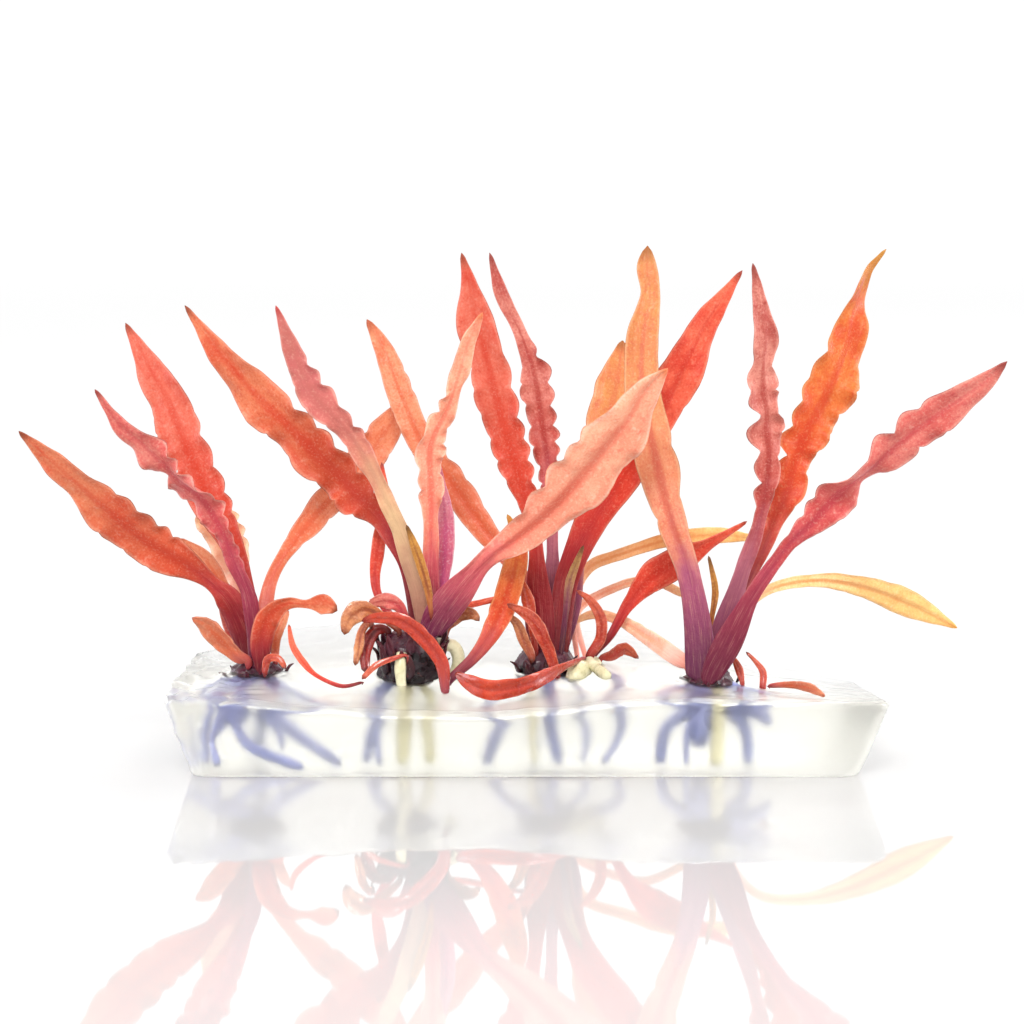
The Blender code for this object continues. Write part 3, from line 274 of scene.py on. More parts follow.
    Leaf("plant_4_leaf_twisted_waist", "rose_leaf", (10, 25), (6, 0.6), """
    27 10.5 -10.2 2, 29.5 15.5 -10.8 3, 33 22.5 -12 2.2, 37.5 29 -13 2, 41.5 33 -14 3.6, 45 37 -15 5.2,
    47.5 39 -15.7 2.1, 50 41 -16.5 2.4, 54 44.5 -17.5 5, 60 49 -19 4.8, 65 52.5 -20.5 3.1, 69 56 -22 0.4""",
        scallops=(8, 0.44, 0.5, 0.3, 0.86), sheath=1.5, twists=((0.6, 55, 0.07),)),
    Leaf("plant_4_low_leaf_pale_arch", "pale_leaf", (10, 20), (2, 0.2), """
    23.7 12 -5.4 1.6, 22 13.2 -4 2.4, 18 16 1 2.3, 14 18.5 6.5 1.6, 10 19.5 8 1.4, 6.5 18 7.5 0.6"""),
    Leaf("plant_4_leaf_yellow", "pale_leaf", (10, 30), (2, 0.3), """
    28.3 10.9 -2 0.7, 31 18.5 0 1, 35 23 2.5 1.4, 42 24.5 6 1.9, 49 23.5 9 3.3, 55.5 21 11 4,
    62.5 17.5 12 0.4""", look="gold_leaf", fold=0.04),
    Leaf("plant_4_leaf_bud", "olive_leaf", (0, 0), (1, 0), """
    26.5 11.6 -4.5 0.7, 27 18.5 -4.5 0.7, 27.5 23 -4 1, 26.5 28 -3.5 0.4"""),
    Leaf("plant_4_low_leaf_short", "wet_leaf", (0, 0), (1, 0.1), """
    31.5 9.5 -7 0.7, 31 11.5 -6.5 1.2, 30 13.5 -6 0.4"""),
    Leaf("plant_4_low_leaf_hook", "wet_leaf", (0, 0), (1, 0), """
    34.5 9 -7.5 1, 34.5 11 -7 1, 33.5 12.5 -6.5 0.7, 32 14 -6 0.4"""),
    Leaf("plant_4_low_leaf_lying", "wet_leaf", (20, 30), (1, 0.1), """
    35.5 9 -9 0.6, 38.5 9.2 -12.5 1, 41.5 8.7 -17 1.3, 43.5 7.5 -21 0.4""",
        look="amber_leaf", foot_depth=LYING_FOOT_DEPTH),
)

# Each rhizome has the rings of its stump from its lower end to its top, as x, y, z and radius, and its
# roots. A root has its radius at the stump and at the tip, and then its guide points x, y and z. All are
# real places. Some rhizomes have more: which roots are cream, counted from 0; flaps, the remains of old
# leaf bases, as how many there are, the size of the largest and how far below the crown's top the lowest
# starts; and how wide the crown is, as a share of the stump.
Rhizome = namedtuple("Rhizome", "name rings roots cream flaps crown_share", defaults=((), (), 1.0))
RHIZOMES = (
    Rhizome("plant_1_rhizome", """
    -38.6 -2.8 8.5 1.6, -38.6 -2.8 10.3 3.9, -38.5 -2.9 11.8 4.4, -38.4 -2.8 12.7 3.6""", (
        "0.9 0.5, -39.8 -2.8 10.3, -42 -6 7.5, -43.5 -11 5, -43 -15 2.2",
        "1.0 0.5, -38.4 -3.6 9.9, -40.5 -8 6.5, -38 -13 3.5, -31 -16 2",
        "0.9 0.5, -37.3 -2.9 10.1, -34.5 -6 7, -30.5 -9 4, -26 -11 2",
        "0.8 0.5, -38.5 -1.4 9.8, -37.5 2 6, -38.5 4 2.2",
        "0.5 0.25, -37.4 -3.5 9.5, -36.5 -7 8, -34.5 -10 5.5, -34 -12 3.2",
        "0.7 0.35, -40 -3 9.5, -44.2 -6 8.2, -45.4 -9 5, -44.6 -12 1.6",
    ), flaps=(6, 0.6, 1.5), crown_share=0.86),
    Rhizome("plant_2_rhizome", """
    -16.6 -4.4 8.3 1.8, -16.6 -4.8 10.5 4.5, -16.4 -5.0 13 4.9, -16.2 -5.0 15.7 4.6,
    -15.8 -5.0 17.4 3.5""", (
        "1.1 0.8, -17 -4.5 10, -17 -8 7, -17.2 -10 2",
        "0.8 0.6, -15.5 -4.5 10, -13.8 -7 6.5, -13.3 -8.5 2",
        "0.8 0.5, -17.8 -3.5 10, -21 -5.5 6.5, -22.5 -7 2",
        "0.9 0.6, -12.8 -4.2 15.6, -10.2 -3.8 15.4, -9.5 -3.6 12.8, -11.2 -4 9.8",
        "0.5 0.3, -18.4 -5 9, -20.6 -9 6, -20.4 -11 1.6",
        "0.7 0.55, -17.4 -8.9 15.2, -17.6 -9.9 12.8, -17.3 -9.9 9.5, -17 -9.6 6",
    ), cream=(0, 1, 3, 5), flaps=(24, 1.4, 4.0), crown_share=0.92),
    Rhizome("plant_3_rhizome", """
    3.2 -0.2 8.3 1.8, 3.1 -0.2 10.3 3.7, 3.1 -0.1 12.3 4.3, 3.2 0.2 14.1 3.6""", (
        "0.9 0.6, 2 -1.5 10, -3 -5 7, -5.5 -8 2",
        "0.9 0.6, 3.5 -1.5 10, 3.6 -6 6.5, 4.8 -8.5 2",
        "0.7 0.4, 3 1 10, 1 4 6, 1.5 5 2.2",
        "0.5 0.3, 4.6 -1 10, 8.5 -5 6, 8.2 -8 1.6",
        "0.6 0.3, 2.2 -2 9.6, 1 -7 6, 1.4 -9 1.6",
    ), cream=(4,), flaps=(14, 1.0, 3.0)),
    Rhizome("offset_rhizome", """
    9.7 1.4 9.2 1.0, 9.7 1.4 11 1.7, 9.7 1.4 12.5 1.4""", (
        "0.8 0.4, 10 0.5 10.5, 13.5 -3 7.5, 13 -7.5 4, 11 -10 2",
        "0.75 0.6, 9.7 1 11.9, 9.4 -2.5 12.9, 10.5 -6 12.4, 11.8 -9.5 11.9",
        "1.3 1.2, 9.4 0.2 11.4, 8.6 -2.6 11.9, 7.6 -5 11.6, 7 -6.6 10.6",
    ), cream=(1, 2)),
    Rhizome("plant_4_rhizome", """
    26.2 -6.2 7.6 2.0, 26.2 -6.1 9.4 4.0, 26.2 -6.0 10.8 4.5, 26.2 -6.0 11.8 3.5""", (
        "0.9 0.6, 24.5 -7 9, 20 -9 6, 19 -11 2",
        "1.4 0.9, 26 -7.5 9, 25 -9 6.5, 24.5 -10.5 3.5",
        "0.9 0.7, 27 -8 9, 27.2 -10.5 6, 26.8 -12.5 2",
        "0.9 0.6, 28 -6.5 9, 31 -8 6, 31.5 -10 2",
        "1.5 0.5, 29 -7 9.4, 33 -8.5 8.2, 34.5 -9 6.4",
        "0.6 0.3, 25.4 -8 8.6, 23 -11 6, 22.6 -12.5 1.6",
    ), cream=(2,), flaps=(5, 0.5, 1.0), crown_share=0.84),
)

# How each kind of leaf looks: its colours in the order of Tones, the shares of the length where the stalk
# ends and the tip begins, its roughness, and its shade where that isn't LEAF_SHADE. The colours are as
# seen in the studio's light, which is brighter than 1 and adds a white sheen, so the leaves are painted
# darker, by their shade, and deeper, by HUE_DEPTH.
LEAF_SHADE = 0.8
HUE_DEPTH = 1.13
Tones = namedtuple("Tones", "lower upper mottle rib margin foot stalk tip")
LOOKS = {
    "orange_leaf": ("E86644 F09068 DE5634 D84828 F8B498 6E1A2C C03C44 8A4426", 0.3, 0.95, 0.42, 0.72),
    "coral_leaf": ("E65A42 F0826A DC4C34 DA4424 F6A894 7A1A2C BC3434 9A4A30", 0.3, 0.95, 0.42, 0.7),
    "rose_leaf": ("DE6462 EC8E80 D0524E C84450 F6BCAC 6A1C3A B04258 8E3A34", 0.34, 0.95, 0.42),
    "mauve_leaf": ("C4544A E09484 B24640 A83830 F0B0A0 7A3858 B87080 8A3A30", 0.36, 0.94, 0.45),
    "red_leaf": ("E84E38 F47A5C D84230 CE3824 F8A488 701C28 BC343A 8E3626", 0.3, 0.95, 0.4),
    "salmon_leaf": ("F69A82 FAB898 F0967A E8745E FCD2BC 6A2648 D06068 D87C50", 0.28, 0.96, 0.42, 0.92),
    "tan_leaf": ("F8A484 E8A464 E88C60 DA6C58 F8CCA4 6C2E50 B45C7C A86A34", 0.27, 0.95, 0.42, 0.74),
    # pale_leaf and gold_leaf keep a full shade of 1, which is partly painted light: it brightens the
    # arching leaves that get less light.
    "pale_leaf": ("FCC8B4 FACC9C F6B494 F0A080 FDE4CC E08C7C FCD0C0 DC9048", 0.25, 0.95, 0.4, 1.0),
    # The violet look is painted lighter than the leaf's own colour: partly painted light for the violet
    # leaf, which stands in shade behind others.
    "violet_leaf": ("E88096 F0A4B0 D06A8A C05480 FADCE2 843058 C86090 D08C84", 0.3, 0.95, 0.36),
    "olive_leaf": ("C07C40 CE9648 9C5C2C 86442A E0B074 8A3C34 C07448 5E3A1C", 0.2, 0.8, 0.4),
    "wet_leaf": ("CE5038 E06C4A B43C2C B03426 F4A484 68181C B63A32 8A3422", 0.2, 0.9, 0.22),
    "dark_leaf": ("9A241E B2302A 701618 6A1416 D87058 400E12 84201E 3A1014", 0.2, 0.9, 0.2),
    "withered_leaf": ("D07A52 E29A66 A85238 9A4630 F6C09A 5A2420 B45A44 8A4A2C", 0.2, 0.9, 0.28),
    "amber_leaf": ("F48C64 F8A880 EC7C56 E66C46 FCCAB0 B0424A E87C6C B86040", 0.25, 0.95, 0.36, 0.74),
    "gold_leaf": ("FECC9C FED48C F6B874 EEA464 FEE4B8 E08C80 FCC4B0 E0A050", 0.25, 0.95, 0.4, 1.0),
    "blush_leaf": ("E49478 DE7C78 D07C70 D0786E F4BCAC B07C6C F0CC9E C0524C", 0.42, 0.95, 0.42),
    "flame_leaf": ("EC5A36 F09048 DE4C2C D84822 F8B080 7A3048 C05C60 C89240", 0.3, 0.86, 0.4, 0.72),
    "strap_leaf": ("CC3C1E D64A26 AE2E18 A42816 E8704C 9C4450 B43A28 8A2A1C", 0.22, 0.9, 0.22),
    "sheath_leaf": ("B08058 C09458 8C5440 7A4438 D8B080 4A1A30 7A3450 6A4024", 0.62, 0.9, 0.4),
}


def rows(text):
    """The numbers of a table's text; its rows are parted by commas."""
    return [tuple(float(number) for number in row.split()) for row in text.split(",")]


def eased(share):
    share = np.clip(share, 0.0, 1.0)
    return share * share * (3 - 2 * share)


def between(first, last, share):
    return first + (last - first) * share


def unit(vectors):
    return vectors / np.linalg.norm(vectors, axis=-1, keepdims=True)


def smooth_curve(points, positions):
    """Points on a smooth curve through the guide points; position 0 is the first and 1 is the second."""
    last = len(points) - 1
    index = np.clip(positions.astype(int), 0, last - 1)
    share = (positions - index)[:, None]
    before = points[np.maximum(index - 1, 0)]
    start = points[index]
    end = points[index + 1]
    after = points[np.minimum(index + 2, last)]
    slope_in = (end - before) / 2
    slope_out = (after - start) / 2
    cubic = 2 * start - 2 * end + slope_in + slope_out
    square = -3 * start + 3 * end - 2 * slope_in - slope_out
    return ((cubic * share + square) * share + slope_in) * share + start


def even_positions(points, spacing, fewest=12):
    """Positions along the curve that are evenly spaced in length, and the curve's length."""
    last = len(points) - 1
    fine = np.linspace(0, last, CURVE_STEPS * last + 1)
    places = smooth_curve(points, fine)[:, :3]
    steps = np.linalg.norm(np.diff(places, axis=0), axis=1)
    lengths = np.concatenate(([0.0], np.cumsum(steps)))
    count = max(round(lengths[-1] / spacing), fewest) + 1
    return np.interp(np.linspace(0, lengths[-1], count), lengths, fine), lengths[-1]


def add_object(name, data, place=(0, 0, 0)):
    item = bpy.data.objects.new(name, data)
    item.location = place
    bpy.context.scene.collection.objects.link(item)
    return item


def make_mesh(name, points, faces, material, uv_maps=()):
    """A smooth-shaded mesh object from points in millimetres, with UV maps given point by point."""
    mesh = bpy.data.meshes.new(name)
    mesh.from_pydata((np.asarray(points) * MM).tolist(), [], faces)
    corners = np.empty(len(mesh.loops), dtype=np.int32)
    mesh.loops.foreach_get("vertex_index", corners)
    for title, values in uv_maps:
        layer = mesh.uv_layers.new(name=title)
        layer.data.foreach_set("uv", np.asarray(values, dtype=np.float32)[corners].ravel())
    mesh.materials.append(material)
    mesh.shade_smooth()
    return add_object(name, mesh)


def closed_faces(rings, sides):
    """Faces of a tube of rings that all have the same number of points, with both of its ends closed."""
    faces = []
    for low in range(0, (rings - 1) * sides, sides):
        high = low + sides
        for side in range(sides):
            after = (side + 1) % sides
            faces.append((low + side, low + after, high + after, high + side))
    start = (rings - 1) * sides
    return faces + [tuple(reversed(range(sides))), tuple(range(start, start + sides))]


def seen(points):
    """The real places, at their own depths, of what is seen at these places in the middle plane."""
    across, up, back = points[:, 0], points[:, 1], points[:, 2]
    middle = np.column_stack((across, 0 * across, up))
    return EYE + (middle - EYE) * ((back - EYE[1]) / (0.0 - EYE[1]))[:, None]


def leaf_frames(places, outward, turns, lean):
    """Directions across the leaf and out of its upper face, at each ring."""
    along = unit(np.gradient(places, axis=0))
    facing = unit(outward - along * np.sum(outward * along, axis=1, keepdims=True))
    side = np.cross(along, facing) * lean
    normal = facing * np.cos(turns)[:, None] + side * np.sin(turns)[:, None]
    return np.cross(along, normal), normal


def leaf_turns(leaf, share):
    """How far the leaf's face is turned, in radians, at each share of its length."""
    extra = np.zeros_like(share)
    for place, degrees, spread in leaf.twists:
        extra += math.radians(degrees) * np.exp(-((share - place) / spread) ** 2)
    return np.radians(between(*leaf.turn, share)) + extra


def leaf_width(leaf, seen_width, turns, share, length):
    width = np.maximum(seen_width, LEAST_WIDTH) / np.cos(turns)
    width *= np.sqrt(np.clip((1 - share) / TIP_ROUND, 0.02, 1))
    width *= np.sqrt(np.clip((share * length + 0.05) / FOOT_ROUND, 0.1, 1))
    return width * between(leaf.sheath, 1.0, eased(share * length / SHEATH_LENGTH))


def drifting(share, turns, draw):
    """A sine along the leaf that starts anywhere."""
    return np.sin(2 * np.pi * (turns * share + draw.random()))


def scallops(pattern, share, width, draw):
    """How far one margin is pushed out and lifted along the leaf by its small scallops."""
    count, reach, rise, first, last = pattern
    within = eased((share - first) / SCALLOP_FADE) * eased((last - share) / SCALLOP_FADE)
    within = within * np.minimum(width / FULL_SCALLOP_WIDTH, 1)
    drift = drifting(share, 1.4, draw)
    drift = drift + 0.45 * drifting(share, 3.1, draw)
    size = 0.75 + 0.4 * drifting(share, 1.9, draw)
    size = np.clip(size + 0.3 * drifting(share, 4.3, draw), 0.12, 1.4)
    phase = np.pi * count * (share - first) / (last - first) + drift
    lobes = 2 * np.abs(np.sin(phase)) ** 0.7 - 1.2
    return reach * size * within * lobes, rise * size * within * np.cos(2 * phase)


def leaf_columns(leaf, share, length, width, draw):
    """For each column of points along the leaf: its share of the half width, how far from the leaf's middle
    it lies, and how high its points lie on the upper and the lower side."""
    wave_count, wave_height = leaf.waves
    blade = eased(share / BLADE_STARTS)
    swell = wave_height * blade * eased((1 - share) / WAVE_FADE) * np.minimum(width / FULL_WAVE_WIDTH, 1)
    drift = WAVE_DRIFT * drifting(share, 1.3, draw) * wave_count ** 0.5
    phase = 2 * np.pi * wave_count * share + drift * eased(share * 3)
    big_waves = np.sin(phase), np.sin(phase + WAVE_OFFSET)
    small_waves = [scallops(leaf.scallops, share, width, draw) for _ in big_waves]
    pleats = draw.uniform(0, 2 * np.pi)
    crinkle = draw.uniform(0, 2 * np.pi)
    thickness = np.minimum(THICKNESS_OF_WIDTH * width, between(PETIOLE_THICKNESS, BLADE_THICKNESS, blade))
    edge = np.minimum(EDGE_THICKNESS, thickness)
    for v in np.sin(np.linspace(-np.pi / 2, np.pi / 2, COLUMNS + 1)):
        margin = 0 if v < 0 else 1
        wave = big_waves[margin]
        push, lift = small_waves[margin]
        reach = abs(v)
        offset = v * width / 2 * (1 + SWAY * wave_height * blade * wave) + push * v * reach
        rise = CUP * width * blade * reach ** 1.6
        rise = rise + swell * wave * reach ** 2.2
        rise = rise + lift * reach ** 2.5
        rise = rise + leaf.fold * width * blade * np.cos(6 * v + pleats + 0.6 * phase / wave_count)
        rise = rise + WRINKLE_HEIGHT * blade * np.sin(1.9 * share * length + 4 * v + crinkle) * reach
        body = thickness * math.sqrt(max(1 - v * v, 0)) * 0.5
        body = np.maximum(body, edge * 0.5 * math.sqrt(max(1 - v ** 6, 0)))
        keel = KEEL_HEIGHT * blade * (1 - share) * math.exp(-(v / KEEL_SPREAD) ** 2)
        keel = keel * eased((width - 1.5) / 2)
        yield v, offset, rise + body - GROOVE * keel, rise - body - keel


def leaf_body(leaf, guide, draw, outward_of):
    """The points, faces and UV maps of one leaf from its real guide points (x, y, z, width)."""
    positions, length = even_positions(guide, RING_SPACING)
    stations = smooth_curve(guide, positions)
    places = stations[:, :3]
    share = np.linspace(0, 1, len(places))
    lean = 1 if places[-1][0] > places[0][0] else -1
    turns = leaf_turns(leaf, share)
    across, normal = leaf_frames(places, outward_of(places), turns, lean)
    width = leaf_width(leaf, stations[:, 3], turns, share, length)
    columns, upper, lower = [], [], []
    for v, offset, top, bottom in leaf_columns(leaf, share, length, width, draw):
        centre = places + across * offset[:, None]
        columns.append(v)
        upper.append(centre + normal * top[:, None])
        lower.append(centre + normal * bottom[:, None])
    rings = np.concatenate((upper, lower[-2:0:-1])).transpose(1, 0, 2)
    sides = rings.shape[1]
    shares = np.repeat(share, sides)
    across_share = np.tile((*columns, *columns[-2:0:-1]), len(share))
    form = np.column_stack((shares, across_share * 0.5 + 0.5))
    flat = np.column_stack((shares * length, across_share * np.repeat(width, sides) / 2)) * 0.01 + 0.5
    return rings.reshape(-1, 3), closed_faces(len(share), sides), form, flat


def make_leaf(leaf, material, seed):
    guide = np.array(rows(leaf.points))
    guide[:, :3] = seen(guide[:, :3])
    foot = guide[0] - (0, 0, leaf.foot_depth, FOOT_TAPER * guide[0][3])
    guide = np.concatenate(([foot], guide))
    points, faces, form, flat = leaf_body(leaf, guide, random.Random(seed), lambda places: EYE - places)
    item = make_mesh(leaf.name + "_blade", points, faces, material, (("form", form), ("flat", flat)))
    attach(item, "root")
    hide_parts(leaf.name)


def lumps(points, size, scale, shift=0.0):
    """A smooth random value from -size to size at each point."""
    move = Vector((shift, shift * 0.7, 3.1))
    return np.array([size * noise.noise(Vector(point) * scale + move) for point in points])


def tube(path, radii, sides):
    """The points of rings about a path."""
    along = unit(np.gradient(path, axis=0))
    side = unit(np.cross(along, (0.0, 1.0, 0.001)))
    other = np.cross(along, side)
    angles = np.linspace(0, 2 * np.pi, sides, endpoint=False)
    spokes = side[:, None] * np.cos(angles)[:, None] + other[:, None] * np.sin(angles)[:, None]
    return (path[:, None] + spokes * radii[:, None, None]).reshape(-1, 3)


def crown_body(rhizome):
    """A lumpy stump with a rounded top and foot."""
    rings = np.array(rows(rhizome.rings))
    rings[:, 3] *= rhizome.crown_share
    stations = smooth_curve(rings, even_positions(rings, CROWN_RING_SPACING)[0])
    x, y, z, top_radius = stations[-1]
    dome = [
        (x, y, z + DOME_HEIGHT * math.sin(angle), top_radius * math.cos(angle))
        for angle in np.radians(DOME_ANGLES)
    ]
    stations = np.concatenate((stations, dome))
    angles = np.linspace(0, 2 * np.pi, CROWN_SIDES, endpoint=False)
    circle = np.column_stack((np.cos(angles), np.sin(angles), 0 * angles))
    spokes = np.tile(circle, (len(stations), 1))
    radius = np.repeat(stations[:, 3], CROWN_SIDES)
    points = np.repeat(stations[:, :3], CROWN_SIDES, axis=0) + spokes * radius[:, None]
    upright = points * (1, 1, 0.35)
    bulge = lumps(upright, 0.8, 0.5) + lumps(upright, 0.6, 1.2, 5.0) + lumps(points, 0.25, 2.6, 9.0) - 0.15
    points = points + spokes * (bulge * np.minimum(radius / 2.5, 1))[:, None]
    points[:, 2] += lumps(points, 0.3, 0.9, 13.0) * (radius < top_radius) * 0.8
    return points, closed_faces(len(stations), CROWN_SIDES)


def root_body(root):
    (start_radius, end_radius), *guide = rows(root)
    guide = np.array(guide)
    if guide[-1][2] < LOW_ROOT_TIP:
        guide[-1][2] = min(guide[-1][2], ROOT_TIP_HEIGHT)
    path = smooth_curve(guide, even_positions(guide, ROOT_SPACING, 6)[0])
    share = np.linspace(0, 1, len(path))
    radii = between(start_radius, end_radius, share) * np.sqrt(np.clip((1.02 - share) / 0.05, 0.05, 1))
    radii = radii * (1 + lumps(path, 0.2, 0.5, 21.0))
    return tube(path, radii * ROOT_SWELL, ROOT_SIDES), closed_faces(len(path), ROOT_SIDES)


def flap_bodies(rhizome, draw):
    """The ragged remains of old leaf bases that stand round a crown."""
    flap = Leaf("flap", None, (0, 0), (1, 0.1), None)
    x, y, z, radius = rows(rhizome.rings)[-2]
    count, largest, deepest = rhizome.flaps
    bodies = []
    for step in range(count):
        angle = TURN_BETWEEN_FLAPS * step + draw.uniform(-0.3, 0.3)
        out = np.array((math.cos(angle), math.sin(angle), 0.0))
        drop = 0.5 + deepest * (step + draw.random()) / count
        low = np.array((x, y, z - drop)) + out * (radius - 0.4)
        size = draw.uniform(0.4, 1.0) * largest
        lean = draw.uniform(0.1, 1.0)
        guide = np.array([
            (*low, 1.1 * size),
            (*(low + (0, 0, 1.4 * size) + out * (0.3 + 0.3 * lean)), 1.5 * size),
            (*(low + (0, 0, 2.7 * size) + out * (0.4 + 0.7 * lean)), 0.9 * size),
            (*(low + (0, 0, 3.5 * size) + out * (0.4 + 1.6 * lean)), 0.15),
        ])
        points, faces, form, _ = leaf_body(
            flap, guide, draw, lambda places: (places - (x, y, 0)) * (1, 1, 0),
        )
        bodies.append((points, faces, between(CROWN_KIND, FLAP_KIND, form[:, 0])))
    return bodies


def make_rhizome(rhizome, material, seed):
    """The crown with its old leaf bases and its roots, as one piece."""
    bodies = [(*crown_body(rhizome), CROWN_KIND if rhizome.flaps else CREAM_KIND)]
    if rhizome.flaps:
        bodies += flap_bodies(rhizome, random.Random(seed))
    for number, root in enumerate(rhizome.roots):
        bodies.append((*root_body(root), CREAM_KIND if number in rhizome.cream else ROOT_KIND))
    all_points, all_faces, kinds = [], [], []
    count = 0
    for points, faces, kind in bodies:
        all_faces += [tuple(corner + count for corner in face) for face in faces]
        all_points.append(points)
        kinds.append(np.broadcast_to(kind, len(points)))
        count += len(points)
    all_points = np.concatenate(all_points)
    rings = rows(rhizome.rings)
    height = (all_points[:, 2] - rings[0][2]) / (rings[-1][2] - rings[0][2])
    form = np.stack((np.concatenate(kinds), height), axis=1)
    item = make_mesh(rhizome.name + "_lumpy", all_points, all_faces, material, (("form", form),))
    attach(item, "root")
    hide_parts(rhizome.name)


class Nodes:
    """Short calls for building a material's nodes."""

    def __init__(self, name):
        self.material = bpy.data.materials.new(name)
        self.material.use_nodes = True
        self.tree = self.material.node_tree
        self.shader = self.tree.nodes["Principled BSDF"]

    def node(self, kind, *values, **settings):
        """A new node with these settings, and with these values in its first sockets."""
        item = self.tree.nodes.new(kind)
        for title, value in settings.items():
            setattr(item, title, value)
        for socket, value in zip(item.inputs, values):
            self.feed(socket, value)
        return item

    def feed(self, socket, value):
        if isinstance(value, bpy.types.NodeSocket):
            self.tree.links.new(value, socket)
        elif isinstance(value, (tuple, list)) and len(value) == 3 and socket.type == "RGBA":
            socket.default_value = (*value, 1.0)
        else:
            socket.default_value = value

    def math(self, operation, first, second=0.0):
        return self.node("ShaderNodeMath", first, second, operation=operation).outputs[0]

    times = partialmethod(math, "MULTIPLY")
    plus = partialmethod(math, "ADD")
    minus = partialmethod(math, "SUBTRACT")

    def mix(self, share, first, second):
        item = self.node("ShaderNodeMix", data_type="RGBA")
        self.feed(item.inputs[0], share)
        self.feed(item.inputs[6], first)
        self.feed(item.inputs[7], second)
        return item.outputs[2]

    def step(self, value, low, high, start=0.0, end=1.0):
        """An eased step, from start where value is low to end where it is high."""
        numbers = value, low, high, start, end
        return self.node("ShaderNodeMapRange", *numbers, interpolation_type="SMOOTHSTEP").outputs[0]

    def layer(self, below, tone, value, low, high, most=1.0):
        """A colour over the one below it, from none of it at low to most of it at high."""
        return self.mix(self.step(value, low, high, 0.0, most), below, tone)

    def place(self):
        return self.node("ShaderNodeTexCoord").outputs["Object"]

    def uv(self, name):
        both = self.node("ShaderNodeUVMap", uv_map=name).outputs[0]
        return self.node("ShaderNodeSeparateXYZ", both).outputs[:2]

    def stretched(self, x, y, x_scale, y_scale):
        """A place for noise, from two numbers that are each stretched."""
        return self.node("ShaderNodeCombineXYZ", self.times(x, x_scale), self.times(y, y_scale)).outputs[0]

    def noise(self, vector, scale, detail=3.0, roughness=0.55):
        """Smooth noise; at a place in metres, a scale of 1000 gives spots about a millimetre wide."""
        item = self.node("ShaderNodeTexNoise", vector)
        item.inputs["Scale"].default_value = scale
        item.inputs["Detail"].default_value = detail
        item.inputs["Roughness"].default_value = roughness
        return item.outputs[0]

    def bump(self, height, strength, distance):
        item = self.node("ShaderNodeBump")
        item.inputs["Strength"].default_value = strength
        item.inputs["Distance"].default_value = distance
        self.feed(item.inputs["Height"], height)
        self.set("Normal", item.outputs[0])

    def set(self, title, value):
        """Feeds one of the shader's own sockets."""
        self.feed(self.shader.inputs[title], value)


def paint(code, shade=1.0, depth=1.0):
    """A colour from its six hexadecimal digits, darkened by shade and deepened by a depth over 1."""
    parts = [int(code[k:k + 2], 16) / 255 for k in (0, 2, 4)]
    linear = [part / 12.92 if part <= 0.04045 else ((part + 0.055) / 1.055) ** 2.4 for part in parts]
    strongest = max(linear)
    return tuple(shade * strongest * (part / strongest) ** depth for part in linear)


def leaf_material(name, codes, stalk_end, tip_start, roughness, shade=LEAF_SHADE):
    """Mottled blades with a midrib, a pale margin that is partly real and partly painted highlight, and a
    worn edge, on streaked stalks.
    """
    make = Nodes(name)
    tones = Tones(*(paint(code, shade, HUE_DEPTH) for code in codes.split()))
    along, column = make.uv("form")
    flat = make.uv("flat")
    place = make.place()
    reach = make.times(make.math("ABSOLUTE", make.minus(column, 0.5)), 2.0)
    patches = make.noise(place, 170, 4, 0.6)
    mottle = make.noise(place, 900, 5, 0.65)
    pale_spots = make.noise(place, 1500, 3, 0.5)
    grain = make.noise(place, 3300, 3, 0.6)
    veins = make.noise(make.stretched(*flat, 9.0, 120.0), 1.0, 2)
    streaks = make.noise(make.stretched(*flat, 22.0, 620.0), 1.0, 5, 0.72)

    colour = make.layer(tones.lower, tones.upper, along, 0.35, 0.8)
    colour = make.layer(colour, tones.mottle, patches, 0.42, 0.68, 0.75)
    colour = make.layer(colour, tones.rib, mottle, 0.5, 0.75, 0.6)
    colour = make.layer(colour, tones.margin, pale_spots, 0.56, 0.74, 0.4)
    colour = make.layer(colour, tones.mottle, veins, 0.5, 0.72, 0.35)

    rib_width = make.step(along, 0.3, 1.0, 0.46, 0.16)
    rib = make.minus(1.0, make.step(make.math("DIVIDE", reach, rib_width), 0.25, 1.0))
    rib = make.times(rib, make.step(along, 0.5, 1.0, 0.75, 0.2))
    colour = make.mix(rib, colour, tones.rib)
    # A pale band along the margin: partly the leaf's paler edge, partly a painted highlight on the margins.
    colour = make.layer(colour, tones.margin, reach, 0.8, 0.96, 0.5)
    worn = make.times(make.step(reach, 0.95, 0.985), make.step(patches, 0.35, 0.6, 0.1, 0.75))
    colour = make.mix(worn, colour, tones.tip)
    colour = make.layer(colour, tones.rib, grain, 0.5, 0.68, 0.35)
    colour = make.layer(colour, tones.margin, grain, 0.46, 0.34, 0.25)

    stalk = make.layer(tones.foot, tones.stalk, along, 0.0, stalk_end)
    stalk = make.layer(stalk, tones.margin, streaks, 0.48, 0.74, 0.32)
    stalk = make.layer(stalk, tones.foot, streaks, 0.5, 0.3, 0.4)
    stalk = make.layer(stalk, tones.foot, patches, 0.5, 0.75, 0.5)
    into_blade = make.plus(along, make.times(make.minus(patches, 0.5), 0.3))
    into_blade = make.minus(into_blade, make.times(make.minus(1.0, reach), 0.05))
    colour = make.layer(stalk, colour, into_blade, stalk_end * 0.5, stalk_end * 1.4)
    colour = make.layer(colour, tones.tip, along, tip_start, 0.995, 0.9)

    height = make.plus(make.times(veins, 0.6), make.times(mottle, 0.6))
    height = make.plus(height, patches)
    height = make.plus(height, make.times(grain, 0.3))
    make.bump(height, 0.45, 0.0005)
    make.set("Base Color", colour)
    make.set("Roughness", make.step(mottle, 0.3, 0.7, roughness - 0.06, roughness + 0.1))
    make.set("Specular IOR Level", 0.28)
    if roughness < 0.3:
        make.set("Coat Weight", 0.6)
        make.set("Coat Roughness", 0.05)
    return make.material


